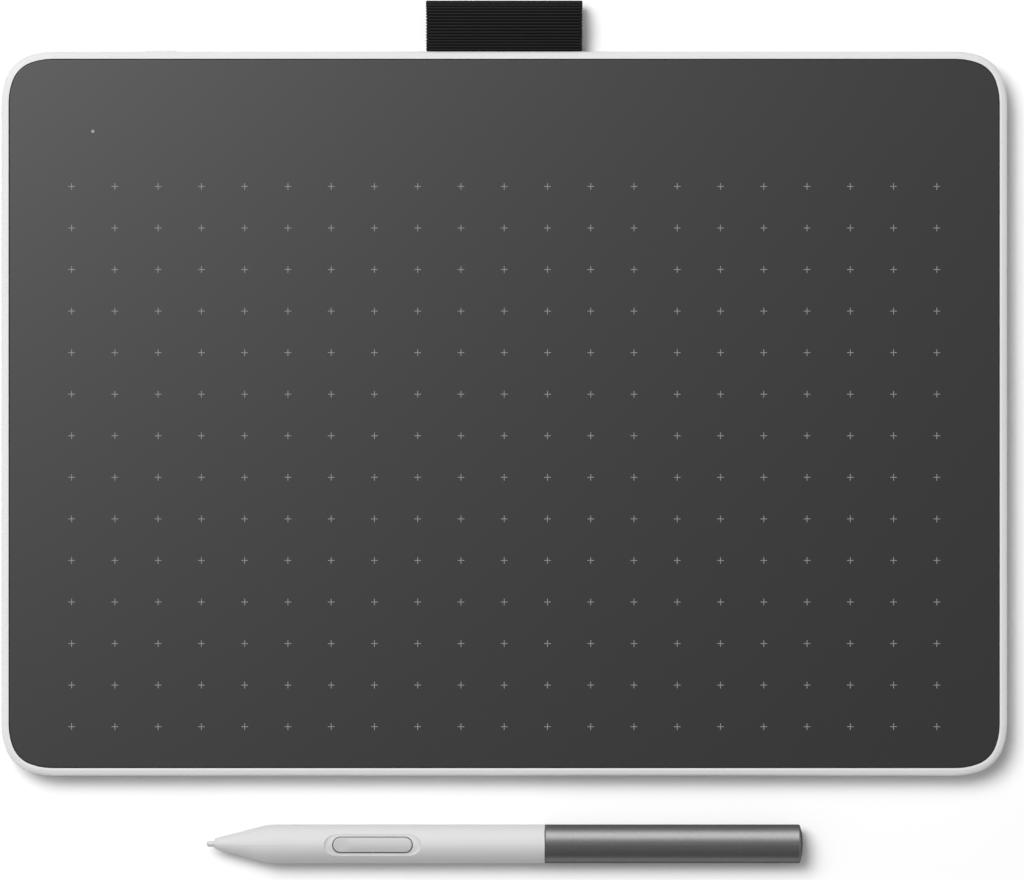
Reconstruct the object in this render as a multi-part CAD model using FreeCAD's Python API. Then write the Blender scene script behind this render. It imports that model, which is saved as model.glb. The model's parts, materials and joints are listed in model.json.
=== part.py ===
import FreeCAD, Part
import math
import os
from FreeCAD import Vector

# Graphics tablet with its pen.
# Millimetres, +Z up. The origin is on the desk under the centre of the tablet.
# +Y points away from the user, towards the fabric loop that holds the pen. +X points right.

# Shortest straight stub that is left between the two roundings of a pill's end
end_stub = 0.0001

# Tablet outline: straight sides, each corner three tangent arcs
tablet_width = 251.4
tablet_depth = 181.0
shoulder_radius = 17.9
shoulder_angle = 20.0
corner_radius = 9.5

# Tablet heights, from the desk upwards
foot_height = 0.8
floor_thickness = 1.6
inner_height = 3.8
carrier_thickness = 1.5
overlay_thickness = 0.5
rim_lip = 0.1

# Case walls and edges
wall_thickness = 3.0
rim_width = 1.92
plate_gap = 0.12
rim_slope_width = 1.35
rim_slope_drop = 0.6
rim_edge_radius = 1.05
rim_top_radius = 0.1
bottom_edge_radius = 3.2
overlay_edge_radius = 0.22

# Drawing area, placed by its margins to the outline
side_margin = 17.7
front_margin = 12.26
back_margin = 33.74

# Sensor stack under the plate
sensor_margin = 6.0
sensor_thickness = 0.8
shield_thickness = 0.3
shield_inset = 1.5
shield_back_gap = 6.5
board_corner_radius = 1.5

# Ribs on the floor
rib_thickness = 1.0
rib_end_gap = 4.0

# Plate screws with their floor pads and plate bosses
screw_shank_radius = 0.9
screw_hole_radius = 1.15
pilot_clearance = 0.02
screw_head_radius = 1.8
screw_head_height = 1.2
head_recess_radius = 2.0
head_recess_depth = 1.6
screw_length = 4.4
drive_width = 0.5
drive_length = 2.2
drive_depth = 0.5
screw_side_inset = 7.2
screw_end_inset = 11.5
screw_inner_pitch = 26.0
loop_screw_gap = 7.2
floor_pad_radius = 3.3
floor_pad_height = 1.2
boss_radius = 3.0
pilot_top_gap = 0.4

# Snap hooks that hold the front and back edges of the plate
hook_width = 6.0
hook_thickness = 1.0
hook_height = 2.6
hook_nub = 0.4
hook_nub_height = 0.8
hook_clearance = 0.1
front_hook_pitch = 56.0
front_hook_count = 4
back_hook_first = 42.0
back_hook_pitch = 26.0
back_hook_count = 3

# Rubber feet
foot_length = 62.0
foot_width = 7.0
foot_recess = 0.4
foot_clearance = 0.15
foot_edge_radius = 0.3
foot_end_inset = 10.0

# Fabric loop for the pen, a closed ribbon round the bar behind the back wall
loop_width = 39.2
ribbon_thickness = 0.9
loop_reach = 12.95
loop_half_height = 3.6
loop_wall_half_height = 1.8
loop_mouth_radius = 4.0
loop_rise_angle = 20.0
loop_rise_radius = 8.0
loop_crown_radius = 6.4
loop_tip_angle = 33.0
slot_clearance = 0.1
slot_side_clearance = 0.4
bar_depth = 2.0
bar_gap = 0.1
bar_edge_radius = 0.25
bar_overhang = 2.5
bar_post_thickness = 1.6

# Main board in the strip behind the drawing area
board_thickness = 0.8
board_post_height = 0.9
board_left_inset = 14.7
board_boss_gap = 1.2
board_depth = 23.0
board_wall_gap = 0.5
board_screw_inset = 3.0
board_post_radius = 2.3
board_screw_radius = 0.8
board_screw_hole_radius = 0.95
board_head_radius = 1.5
board_head_height = 0.8
board_screw_length = 2.2
board_pilot_end_gap = 0.2

# USB-C inlet
usb_offset_x = 29.0
usb_shell_width = 8.94
usb_shell_height = 3.26
usb_shell_wall = 0.3
usb_shell_length = 7.35
usb_set_back = 0.6
usb_mouth_clearance = 0.15
usb_tongue_width = 6.69
usb_tongue_thickness = 0.7
usb_tongue_set_back = 0.9
usb_base_clearance = 0.02
usb_base_depth = 1.6
usb_contact_pitch = 0.5
usb_contact_width = 0.25
usb_contact_length = 3.6
usb_contact_set_back = 0.3
usb_contact_height = 0.06
usb_contact_count = 12
usb_tab_width = 1.4
usb_tab_length = 2.2
usb_tab_thickness = 0.3
usb_tab_back_inset = 1.0

# Power button in the back wall
button_offset_x = 55.0
button_length = 8.0
button_height = 2.0
button_clearance = 0.15
button_proud = 0.35
button_travel = 0.35
button_flange_overlap = 1.0
button_flange_thickness = 0.8
button_flange_rise = 0.1
button_seat_gap = 0.05
button_stem_radius = 0.7
button_stem_length = 0.6
button_edge_radius = 0.3
plunger_radius = 0.6
plunger_reach = 1.4
plunger_depth = 0.4
plunger_clearance = 0.1
switch_body_width = 4.6
switch_body_depth = 3.6
switch_body_height = 1.8

# Status light
light_side_inset = 22.95
light_back_inset = 20.0
light_radius = 0.4
light_hole_clearance = 0.03
light_base_radius = 1.3
light_base_thickness = 0.8
led_width = 1.6
led_depth = 0.8
led_height = 0.5

# Components on the main board
chip_size = 7.0
chip_height = 0.9
chip_led_gap = 12.45
chip_offset_y = 10.0
radio_length = 12.0
radio_depth = 9.0
radio_height = 1.7
radio_offset_x = 12.0
radio_offset_y = 14.5
radio_corner_radius = 0.4
small_part_pitch = 5.0
small_part_count = 5
small_part_length = 2.0
small_part_width = 1.2
small_part_height = 0.8
small_part_offset_x = 45.0
small_part_offset_y = 14.0

# Flat cable between the sensor and the main board
cable_width = 20.0
cable_thickness = 0.2
cable_offset_x = 39.0
cable_overlap = 5.5
cable_socket_depth = 4.0
cable_socket_height = 1.1
cable_socket_side = 1.6
cable_entry_height = 0.5
cable_bend_radius = 1.0
cable_insertion = 2.0
cable_socket_offset = 2.5
cable_entry_gap = 0.3
cable_slot_side_gap = 0.1
cable_slot_face_gap = 0.05
cable_slot_end_gap = 0.2

# Battery on the floor
battery_width = 88.0
battery_depth = 58.0
battery_thickness = 2.3
battery_edge_radius = 0.6
battery_tape_thickness = 0.2
battery_tape_margin = 6.0
battery_bay_gap = 4.0
bay_right_edge = -4.0
bay_front_margin = 17.5
lead_inset = 10.0
lead_radius = 0.45
lead_pitch = 1.3
lead_battery_height = 0.9
lead_socket_height = 0.7
lead_bend_radius = 5.0
lead_rise_start = 7.5
lead_rise_end = 3.5
lead_notch_width = 4.0
battery_socket_width = 5.0
battery_socket_depth = 4.5
battery_socket_height = 1.6
battery_socket_offset = 1.0

# Pen: outside
pen_length = 149.25
pen_diameter = 9.66
pen_gap = 12.37
pen_centre_x = 0.12
nib_reach = 2.0
nib_hole_radius = 0.95
mouth_radius = 1.15
mouth_edge_radius = 0.15
nose_length = 1.1
nose_radius = 1.62
nose_blend_radius = 1.2
cone_angle = 14.55
cone_blend_radius = 13.0
front_barrel_length = 82.62
barrel_wall = 1.0
barrel_end_radius = 0.1
nib_hole_edge_radius = 0.1
bore_shoulder_radius = 2.0
bore_nose_radius = 0.5
rear_split_gap = 0.08
rear_wall = 1.2
rear_end_wall = 2.0
rear_end_radius = 1.1
rear_front_radius = 0.15
rear_bore_edge_radius = 0.2
tail_dome_height = 0.8
tail_edge_radius = 0.45
tail_crown_height_share = 0.25
tail_crown_width_share = 0.55
tail_crown_radius = 3.0

# Pen: side switch. The flat is half the short straight in the middle of a pill's end.
pen_pill_end_flat = 0.03
key_centre_from_mouth = 39.63
key_length = 19.75
key_width = 3.75
key_gap = 0.2
key_window_floor = 0.5
key_top_radius = 4.75
key_bottom_height = 2.4
key_edge_radius = 0.35
key_saddle_depth = 0.22
land_length = 24.9
land_width = 7.6
land_radius = 6.6
land_depth = 0.45
land_blend_radius = 1.3
pivot_height = 2.7
pivot_radius = 0.35
pivot_clearance = 0.1
pivot_half_length = 3.3
pivot_end_gap = 0.1
dome_spacing = 15.0
dome_radius = 1.6
dome_height = 0.6
key_foot_radius = 0.8
key_foot_gap = 0.36
key_foot_overlap = 0.3

# Pen: inside
chassis_clearance = 0.12
chassis_ring_length = 4.2
chassis_ring_bore = 1.8
chassis_ring_from_mouth = 17.4
tray_height = 0.4
tray_rear_length = 3.5
pen_board_thickness = 0.8
pen_board_width = 6.2
pen_board_rear_gap = 2.0
pen_board_front_gap = 1.0
sensor_radius = 2.6
sensor_length = 4.5
sensor_front_gap = 0.4
ferrite_length = 11.4
ferrite_radius = 1.8
coil_radius = 2.4
coil_length = 7.0
coil_rear_gap = 1.4
nib_radius = 0.75
nib_front_length = 5.0
nib_shaft_radius = 0.6
nib_length = 21.6
nib_tip_radius = 0.7
nib_step_length = 0.4
nib_end_radius = 0.1
nib_seat_gap = 0.05
holder_radius = 1.45
holder_grip_length = 1.9
holder_bore_clearance = 0.05
holder_length = 3.4
holder_edge_radius = 0.3
rod_radius = 0.5
rod_length = 1.9
rod_clearance = 0.15
rod_tip_radius = 0.15
rod_end_gap = 0.2
nib_travel = 0.4
spigot_length = 12.0
spigot_clearance = 0.3
spigot_edge_radius = 0.5
seal_section_radius = 0.5
seal_clearance = 0.06
seal_from_shoulder = 6.0
pen_part_length = 2.0
pen_part_width = 1.2
pen_part_height = 0.7
pen_part_pitch = 4.0
pen_part_count = 4
pen_part_rear_gap = 3.0

# Heights worked out from the values above
case_bottom_z = foot_height
inner_floor_z = case_bottom_z + floor_thickness
carrier_z = inner_floor_z + inner_height
overlay_z = carrier_z + carrier_thickness
overlay_top_z = overlay_z + overlay_thickness
rim_top_z = overlay_top_z + rim_lip
plate_inset = rim_width + plate_gap
sensor_z = carrier_z - sensor_thickness
shield_z = sensor_z - shield_thickness
board_z = inner_floor_z + board_post_height
board_top_z = board_z + board_thickness

# Places worked out from the outline
half_width = tablet_width / 2
half_depth = tablet_depth / 2
inner_back_y = half_depth - wall_thickness
active_front_y = -half_depth + front_margin
active_back_y = half_depth - back_margin
sensor_left = -half_width + side_margin - sensor_margin
sensor_right = -sensor_left
sensor_front = active_front_y - sensor_margin
sensor_back = active_back_y + sensor_margin
board_left = -half_width + board_left_inset
loop_screw_x = loop_width / 2 + loop_screw_gap
board_right = -loop_screw_x - boss_radius - board_boss_gap
usb_x = board_right - usb_offset_x
button_x = board_right - button_offset_x
board_back = inner_back_y - board_wall_gap
board_front = board_back - board_depth
loop_mid_z = inner_floor_z + inner_height / 2
light_x = -half_width + light_side_inset
light_y = half_depth - light_back_inset
battery_z = inner_floor_z + battery_tape_thickness
battery_right = bay_right_edge - battery_bay_gap
battery_left = battery_right - battery_width
battery_front = -half_depth + bay_front_margin + battery_bay_gap
battery_back = battery_front + battery_depth
lead_x = board_right - lead_inset
bay_left = battery_left - battery_bay_gap
bay_front = battery_front - battery_bay_gap
bay_back = battery_back + battery_bay_gap

# Places along the pen
pen_radius = pen_diameter / 2
pen_y = -half_depth - pen_gap - pen_radius
pen_z = pen_radius
tip_x = pen_centre_x - pen_length / 2
tail_x = tip_x + pen_length
mouth_x = tip_x + nib_reach
joint_x = mouth_x + front_barrel_length
bore_radius = pen_radius - barrel_wall
rear_bore_radius = pen_radius - rear_wall
key_x = mouth_x + key_centre_from_mouth
chassis_radius = bore_radius - chassis_clearance
ring_front_x = mouth_x + chassis_ring_from_mouth
ring_back_x = ring_front_x + chassis_ring_length
sensor_front_x = ring_back_x + sensor_front_gap
sensor_back_x = sensor_front_x + sensor_length
pen_board_front_x = sensor_back_x + pen_board_front_gap
tray_back_x = joint_x - tray_rear_length
pen_board_back_x = tray_back_x - pen_board_rear_gap
pen_board_top = tray_height + pen_board_thickness
spigot_radius = rear_bore_radius - spigot_clearance
nib_end_x = tip_x + nib_length
holder_front_x = nib_end_x - holder_grip_length


def box(x0, x1, y0, y1, z0, z1):
    """Box between two corners."""
    return Part.makeBox(x1 - x0, y1 - y0, z1 - z0, Vector(x0, y0, z0))


def upright(x, y, z0, z1, radius):
    """Cylinder along Z."""
    return Part.makeCylinder(radius, z1 - z0, Vector(x, y, z0), Vector(0, 0, 1))


def along_pen(x0, x1, radius):
    """Cylinder on the pen's axis."""
    return Part.makeCylinder(radius, x1 - x0, Vector(x0, pen_y, pen_z), Vector(1, 0, 0))


def rounded_outline(corners, place):
    """Closed outline through corners (u, v, radius), each rounded by a tangent arc."""
    points = [Vector(u, v, 0) for u, v, radius in corners]
    stations = []
    for index, corner in enumerate(corners):
        point = points[index]
        radius = corner[2]
        to_previous = (points[index - 1] - point).normalize()
        to_next = (points[(index + 1) % len(points)] - point).normalize()
        half_angle = to_previous.getAngle(to_next) / 2
        if radius == 0 or half_angle > math.radians(89.99):
            stations.append((point, point, point))
            continue
        reach = radius / math.tan(half_angle)
        inward = (to_previous + to_next).normalize()
        centre = point + inward * (radius / math.sin(half_angle))
        middle = centre - inward * radius
        stations.append((point + to_previous * reach, middle, point + to_next * reach))
    edges = []
    for index, (start, middle, end) in enumerate(stations):
        previous_end = stations[index - 1][2]
        if (start - previous_end).Length > 1e-6:
            edges.append(Part.LineSegment(place(previous_end), place(start)).toShape())
        if (end - start).Length > 1e-6:
            edges.append(Part.Arc(place(start), place(middle), place(end)).toShape())
    return Part.Wire(edges)


def rounded_block(x0, x1, y0, y1, z0, z1, radius):
    """Block with its four upright edges rounded."""
    corners = [(x0, y0, radius), (x1, y0, radius), (x1, y1, radius), (x0, y1, radius)]
    outline = rounded_outline(corners, lambda point: Vector(point.x, point.y, z0))
    return Part.Face(outline).extrude(Vector(0, 0, z1 - z0))


def wall_pill(x, z, length, height, y0, y1):
    """Pill shaped block along Y, as wide as length and as tall as height."""
    radius = height / 2 - end_stub
    left = x - length / 2
    right = x + length / 2
    low = z - height / 2
    high = z + height / 2
    corners = [(left, low, radius), (right, low, radius), (right, high, radius), (left, high, radius)]
    outline = rounded_outline(corners, lambda point: Vector(point.x, y0, point.y))
    return Part.Face(outline).extrude(Vector(0, y1 - y0, 0))


def turned(corners):
    """Solid of revolution about the pen's axis through corners (x, radius, rounding)."""
    outline = rounded_outline(corners, lambda point: Vector(point.x, pen_y, pen_z + point.y))
    return Part.Face(outline).revolve(Vector(0, pen_y, pen_z), Vector(1, 0, 0), 360)


def tablet_outline(inset, z):
    """The tablet's outline moved inwards by inset, at height z."""
    angle = math.radians(shoulder_angle)
    large = shoulder_radius - inset
    small = corner_radius - inset
    half_x = half_width - inset
    half_y = half_depth - inset
    reach = large * (1 + math.sin(angle) - math.cos(angle)) + small * (math.cos(angle) - math.sin(angle))

    def first_quarter():
        side = Vector(half_x - large, half_y - reach, 0)
        middle = side + Vector(math.cos(angle), math.sin(angle), 0) * (large - small)
        top = Vector(half_x - reach, half_y - large, 0)
        arcs = []
        for centre, radius, start, end in (
            (side, large, 0, angle),
            (middle, small, angle, math.pi / 2 - angle),
            (top, large, math.pi / 2 - angle, math.pi / 2),
        ):
            turns = (start, (start + end) / 2, end)
            arcs.append([centre + Vector(math.cos(turn), math.sin(turn), 0) * radius for turn in turns])
        return arcs

    arcs = []
    for side_x, side_y in ((1, 1), (-1, 1), (-1, -1), (1, -1)):
        quarter = [[Vector(p.x * side_x, p.y * side_y, z) for p in arc] for arc in first_quarter()]
        if side_x * side_y < 0:
            quarter = [arc[::-1] for arc in quarter[::-1]]
        arcs.extend(quarter)
    edges = []
    for index, arc in enumerate(arcs):
        previous_end = arcs[index - 1][2]
        if (arc[0] - previous_end).Length > 1e-6:
            edges.append(Part.LineSegment(previous_end, arc[0]).toShape())
        edges.append(Part.Arc(*arc).toShape())
    return Part.Wire(edges)


def tablet_slab(inset, z0, z1):
    """Slab with the tablet's outline, moved inwards by inset."""
    return Part.Face(tablet_outline(inset, z0)).extrude(Vector(0, 0, z1 - z0))


def edges_at(shape, z):
    """Edges that lie at height z."""
    found = []
    for edge in shape.Edges:
        bounds = edge.BoundBox
        if abs(bounds.ZMin - z) < 1e-5 and abs(bounds.ZMax - z) < 1e-5:
            found.append(edge)
    return found


def group(solids):
    """Several separate solids in one node."""
    return Part.makeCompound(solids)


# Tablet pieces


def screw_places():
    """Plan positions of the plate screws: four along each short side, two beside the loop."""
    side_x = half_width - screw_side_inset
    end_y = half_depth - screw_end_inset
    places = []
    for x in (-side_x, side_x):
        for y in (-end_y, -screw_inner_pitch, screw_inner_pitch, end_y):
            places.append((x, y))
    places.append((-loop_screw_x, end_y))
    places.append((loop_screw_x, end_y))
    return places


def foot_places():
    """Plan centres of the feet, over the side screws, with the name of each place."""
    x = half_width - screw_side_inset
    y = half_depth - foot_end_inset - foot_length / 2
    return [
        ("front_left", -x, -y),
        ("front_right", x, -y),
        ("back_left", -x, y),
        ("back_right", x, y),
    ]


def hook_places():
    """Centre x of each snap hook and the side of the case that it clips to."""
    places = []
    first = -front_hook_pitch * (front_hook_count - 1) / 2
    for index in range(front_hook_count):
        places.append((first + index * front_hook_pitch, -1))
    for index in range(back_hook_count):
        places.append((back_hook_first + index * back_hook_pitch, 1))
    return places


def board_screw_places():
    """Plan positions of the four main board screws."""
    places = []
    for x in (board_left + board_screw_inset, board_right - board_screw_inset):
        for y in (board_front + board_screw_inset, board_back - board_screw_inset):
            places.append((x, y))
    return places


def loop_side(skin):
    """Half profile of the ribbon as (u, h) arcs and lines, skin below its outer face.

    u is the distance out from the case's back face, h the height above the loop's middle.
    """
    rise = math.radians(loop_rise_angle)
    tip = math.radians(loop_tip_angle)
    tip_radius = (loop_half_height - loop_crown_radius * (1 - math.cos(tip))) / math.cos(tip)
    flat_end = loop_reach - loop_crown_radius * math.sin(tip) - tip_radius * (1 - math.sin(tip))
    climb = loop_half_height - loop_wall_half_height
    bends = (loop_mouth_radius + loop_rise_radius) * (1 - math.cos(rise))
    slope_length = (climb - bends) / math.sin(rise)
    run = (loop_mouth_radius + loop_rise_radius) * math.sin(rise) + slope_length * math.cos(rise)
    mouth_centre = Vector(0, loop_wall_half_height + loop_mouth_radius, 0)
    rise_centre = Vector(run, loop_half_height - loop_rise_radius, 0)
    crown_centre = Vector(flat_end, loop_half_height - loop_crown_radius, 0)
    tip_centre = Vector(loop_reach - tip_radius, 0, 0)

    def on_arc(centre, radius, angle):
        return centre + Vector(math.sin(angle), math.cos(angle), 0) * radius

    mouth = [on_arc(mouth_centre, loop_mouth_radius + skin, math.pi - turn) for turn in (0, rise / 2, rise)]
    rising = [on_arc(rise_centre, loop_rise_radius - skin, turn) for turn in (-rise, -rise / 2, 0)]
    crown = [on_arc(crown_centre, loop_crown_radius - skin, turn) for turn in (0, tip / 2, tip)]
    tip_middle = (tip + math.pi / 2) / 2
    nose = [on_arc(tip_centre, tip_radius - skin, turn) for turn in (tip, tip_middle, math.pi / 2)]
    return [mouth, rising, crown, nose]


def loop_outline(skin):
    """Closed outline of the ribbon ring, skin below its outer face, in the plane across X."""
    upper = loop_side(skin)
    ring_end = -wall_thickness - bar_gap - bar_depth - bar_gap - ribbon_thickness
    end_radius = loop_wall_half_height - skin
    end_centre = ring_end + loop_wall_half_height
    corner = math.sqrt(0.5) * end_radius
    inner_end = [
        Vector(end_centre, -end_radius, 0),
        Vector(end_centre - corner, -corner, 0),
        Vector(end_centre - end_radius, 0, 0),
        Vector(end_centre - corner, corner, 0),
        Vector(end_centre, end_radius, 0),
    ]
    lower = [[Vector(p.x, -p.y, 0) for p in arc[::-1]] for arc in upper[::-1]]
    arcs = upper + lower + [inner_end[0:3], inner_end[2:5]]

    def place(point):
        return Vector(-loop_width / 2, half_depth + point.x, loop_mid_z + point.y)

    edges = []
    for index, arc in enumerate(arcs):
        previous_end = arcs[index - 1][2]
        if (arc[0] - previous_end).Length > 1e-6:
            edges.append(Part.LineSegment(place(previous_end), place(arc[0])).toShape())
        edges.append(Part.Arc(place(arc[0]), place(arc[1]), place(arc[2])).toShape())
    return Part.Wire(edges)


def pen_loop():
    """Woven ribbon, a closed ring through both slots and round the bar."""
    across = Vector(loop_width, 0, 0)
    outer = Part.Face(loop_outline(0)).extrude(across)
    inner = Part.Face(loop_outline(ribbon_thickness)).extrude(across)
    return outer.cut(inner)


def ribbon_slots():
    """Cutters for the two slots that the ribbon's plies pass through."""
    half_length = loop_width / 2 + slot_side_clearance
    low = loop_wall_half_height - ribbon_thickness - slot_clearance
    high = loop_wall_half_height + slot_clearance
    y0 = inner_back_y - 1
    y1 = half_depth + 1
    upper = box(-half_length, half_length, y0, y1, loop_mid_z + low, loop_mid_z + high)
    lower = box(-half_length, half_length, y0, y1, loop_mid_z - high, loop_mid_z - low)
    return [upper, lower]


def bar_back_y():
    """Back face of the loop's anchor bar, next to the wall."""
    return inner_back_y - bar_gap


def bar_half_height():
    """Half height of the loop's anchor bar, inside the ribbon."""
    return loop_wall_half_height - ribbon_thickness - bar_gap


def loop_anchor_bar():
    """Bar inside the ribbon ring that takes the loop's pull, round where it turns the ribbon."""
    half_length = loop_width / 2 + bar_overhang
    y1 = bar_back_y()
    y0 = y1 - bar_depth
    z0 = loop_mid_z - bar_half_height()
    z1 = loop_mid_z + bar_half_height()
    turn_radius = bar_half_height() - end_stub
    corners = [
        (y0, z0, turn_radius),
        (y1, z0, bar_edge_radius),
        (y1, z1, bar_edge_radius),
        (y0, z1, turn_radius),
    ]
    outline = rounded_outline(corners, lambda point: Vector(-half_length, point.x, point.y))
    return Part.Face(outline).extrude(Vector(2 * half_length, 0, 0))


def bar_posts():
    """Floor posts under the ends of the anchor bar."""
    end = loop_width / 2 + bar_overhang
    posts = []
    for side in (-1, 1):
        x0 = min(side * end, side * (end - bar_post_thickness))
        top = loop_mid_z - bar_half_height()
        y1 = inner_back_y
        posts.append(box(x0, x0 + bar_post_thickness, y1 - bar_depth - 2 * bar_gap, y1, inner_floor_z, top))
    return posts


def floor_ribs():
    """Rib grid on the floor that carries the sensor stack, open where the battery lead passes."""
    left = sensor_left + rib_end_gap
    right = sensor_right - rib_end_gap
    front = sensor_front + rib_end_gap
    back = sensor_back - rib_end_gap
    half = rib_thickness / 2
    ribs = []
    middle = (bay_back + back) / 2
    for y in (bay_front, bay_back, middle, back - half):
        ribs.append(box(left, right, y - half, y + half, inner_floor_z, shield_z))
    free_width = right - bay_right_edge
    for x in (bay_left, bay_right_edge, bay_right_edge + free_width / 3, bay_right_edge + free_width * 2 / 3):
        ribs.append(box(x - half, x + half, front, back, inner_floor_z, shield_z))
    return ribs


def lead_notch():
    """Cutter for the passage of the battery lead through the ribs."""
    half = lead_notch_width / 2
    return box(lead_x - half, lead_x + half, battery_back, sensor_back, inner_floor_z, carrier_z)


def shield_back_y():
    """Back edge of the shield, in front of the flat cable's contacts."""
    return sensor_back - shield_back_gap


def lower_case():
    """White tub with floor, wall, sloped rim, ribs and pads."""
    case = tablet_slab(0, case_bottom_z, rim_top_z)
    case = case.makeChamfer(rim_slope_drop, rim_slope_width, edges_at(case, rim_top_z))
    case = case.makeFillet(rim_edge_radius, edges_at(case, rim_top_z - rim_slope_drop))
    case = case.makeFillet(bottom_edge_radius, edges_at(case, case_bottom_z))
    case = case.cut(tablet_slab(wall_thickness, inner_floor_z, carrier_z))
    case = case.cut(tablet_slab(rim_width, carrier_z, rim_top_z + 1))
    case = case.makeFillet(rim_top_radius, edges_at(case, rim_top_z))
    ribs = floor_ribs()
    added = ribs[0].fuse(ribs[1:])
    added = added.cut(lead_notch())
    pads = [upright(x, y, inner_floor_z, inner_floor_z + floor_pad_height, floor_pad_radius)
            for x, y in screw_places()]
    posts = [upright(x, y, inner_floor_z, board_z, board_post_radius) for x, y in board_screw_places()]
    case = case.fuse([added] + pads + posts + bar_posts())
    cutters = list(ribbon_slots())
    for x, y in screw_places():
        seat = case_bottom_z + head_recess_depth
        pad_top = inner_floor_z + floor_pad_height
        cutters.append(upright(x, y, case_bottom_z - 1, seat, head_recess_radius))
        cutters.append(upright(x, y, case_bottom_z, pad_top + 1, screw_hole_radius))
    for x, y in board_screw_places():
        pilot_end = board_top_z - board_screw_length - board_pilot_end_gap
        cutters.append(upright(x, y, pilot_end, board_z + 1, board_screw_radius + pilot_clearance))
    for name, x, y in foot_places():
        cutters.append(foot_block(x, y, foot_clearance, case_bottom_z - 1, case_bottom_z + foot_recess))
    for x, side in hook_places():
        cutters.append(hook_pocket(x, side))
    mouth = usb_mouth_clearance
    cutters.append(wall_pill(usb_x, loop_mid_z, usb_shell_width + 2 * mouth, usb_shell_height + 2 * mouth,
                             inner_back_y - 1, half_depth + 1))
    cutters.append(wall_pill(button_x, button_z(), button_length + 2 * button_clearance,
                             button_height + 2 * button_clearance, inner_back_y - 1, half_depth + 1))
    return case.cut(cutters)


def foot_block(x, y, clearance, z0, z1):
    """Pill shaped block of a foot, made larger by clearance."""
    half_x = foot_width / 2 + clearance
    half_y = foot_length / 2 + clearance
    return rounded_block(x - half_x, x + half_x, y - half_y, y + half_y, z0, z1, half_x - end_stub)


def foot(x, y):
    """Rubber foot bonded into its recess, standing on the desk."""
    pad = foot_block(x, y, 0, 0, case_bottom_z + foot_recess)
    return pad.makeFillet(foot_edge_radius, edges_at(pad, 0))


def hook_pocket(x, side):
    """Cutter for the pocket in the wall that takes a hook's nub."""
    half = hook_width / 2 + hook_clearance
    top = carrier_z - hook_height + hook_nub_height + hook_clearance
    wall_y = inner_back_y
    depth = hook_nub + hook_clearance
    low = carrier_z - hook_height - hook_clearance
    y0, y1 = sorted((side * (wall_y - 1), side * (wall_y + depth)))
    return box(x - half, x + half, y0, y1, low, top)


def hook(x, side):
    """Snap hook under the plate: a tongue beside the wall with a nub at its foot."""
    half = hook_width / 2
    face = inner_back_y - hook_clearance
    y0, y1 = sorted((side * (face - hook_thickness), side * face))
    tongue = box(x - half, x + half, y0, y1, carrier_z - hook_height, carrier_z)
    y0, y1 = sorted((side * (face - hook_thickness), side * (face + hook_nub)))
    nub = box(x - half, x + half, y0, y1, carrier_z - hook_height, carrier_z - hook_height + hook_nub_height)
    return tongue.fuse(nub)


def top_plate():
    """Carrier plate under the drawing face, with screw bosses and snap hooks."""
    plate = tablet_slab(plate_inset, carrier_z, overlay_z)
    pad_top = inner_floor_z + floor_pad_height
    bosses = [upright(x, y, pad_top, carrier_z, boss_radius) for x, y in screw_places()]
    hooks = [hook(x, side) for x, side in hook_places()]
    plate = plate.fuse(bosses + hooks)
    pilot_radius = screw_shank_radius + pilot_clearance
    cutters = [upright(x, y, pad_top - 1, overlay_z - pilot_top_gap, pilot_radius) for x, y in screw_places()]
    cutters.append(light_hole())
    return plate.cut(cutters)


def light_hole():
    """Cutter for the light pipe's hole through the plate and the drawing face."""
    return upright(light_x, light_y, carrier_z - 1, rim_top_z, light_radius + light_hole_clearance)


def overlay_sheet():
    """Textured drawing face bonded to the carrier plate."""
    sheet = tablet_slab(plate_inset, overlay_z, overlay_top_z)
    sheet = sheet.makeFillet(overlay_edge_radius, edges_at(sheet, overlay_top_z))
    return sheet.cut(light_hole())


def sensor_board():
    """Pen sensing board bonded under the plate."""
    return rounded_block(sensor_left, sensor_right, sensor_front, sensor_back, sensor_z, carrier_z,
                         board_corner_radius)


def shield_plate():
    """Thin steel shield under the sensor board."""
    return rounded_block(sensor_left + shield_inset, sensor_right - shield_inset, sensor_front + shield_inset,
                         shield_back_y(), shield_z, sensor_z, board_corner_radius)


def main_board():
    """Main board on its four posts, notched for the USB inlet."""
    board = rounded_block(board_left, board_right, board_front, board_back, board_z, board_top_z,
                          board_corner_radius)
    cutters = [upright(x, y, board_z - 1, board_top_z + 1, board_screw_hole_radius)
               for x, y in board_screw_places()]
    half = usb_shell_width / 2 + usb_mouth_clearance
    rear = usb_rear_y() - usb_mouth_clearance
    cutters.append(box(usb_x - half, usb_x + half, rear, board_back + 1, board_z - 1, board_top_z + 1))
    return board.cut(cutters)


def board_screws():
    """Four screws that hold the main board to its posts."""
    screws = []
    for x, y in board_screw_places():
        head = upright(x, y, board_top_z, board_top_z + board_head_height, board_head_radius)
        shank = upright(x, y, board_top_z - board_screw_length, board_top_z, board_screw_radius)
        screws.append(head.fuse(shank).cut(cross_drive(x, y, board_top_z + board_head_height, -1)))
    return group(screws)


def cross_drive(x, y, z, side):
    """Cutter for a cross recess in a screw head at z, reaching in the direction of side."""
    half_length = drive_length / 2
    half_width_of_slot = drive_width / 2
    z0, z1 = sorted((z - side, z + side * drive_depth))
    first = box(x - half_length, x + half_length, y - half_width_of_slot, y + half_width_of_slot, z0, z1)
    second = box(x - half_width_of_slot, x + half_width_of_slot, y - half_length, y + half_length, z0, z1)
    return first.fuse(second)


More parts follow.
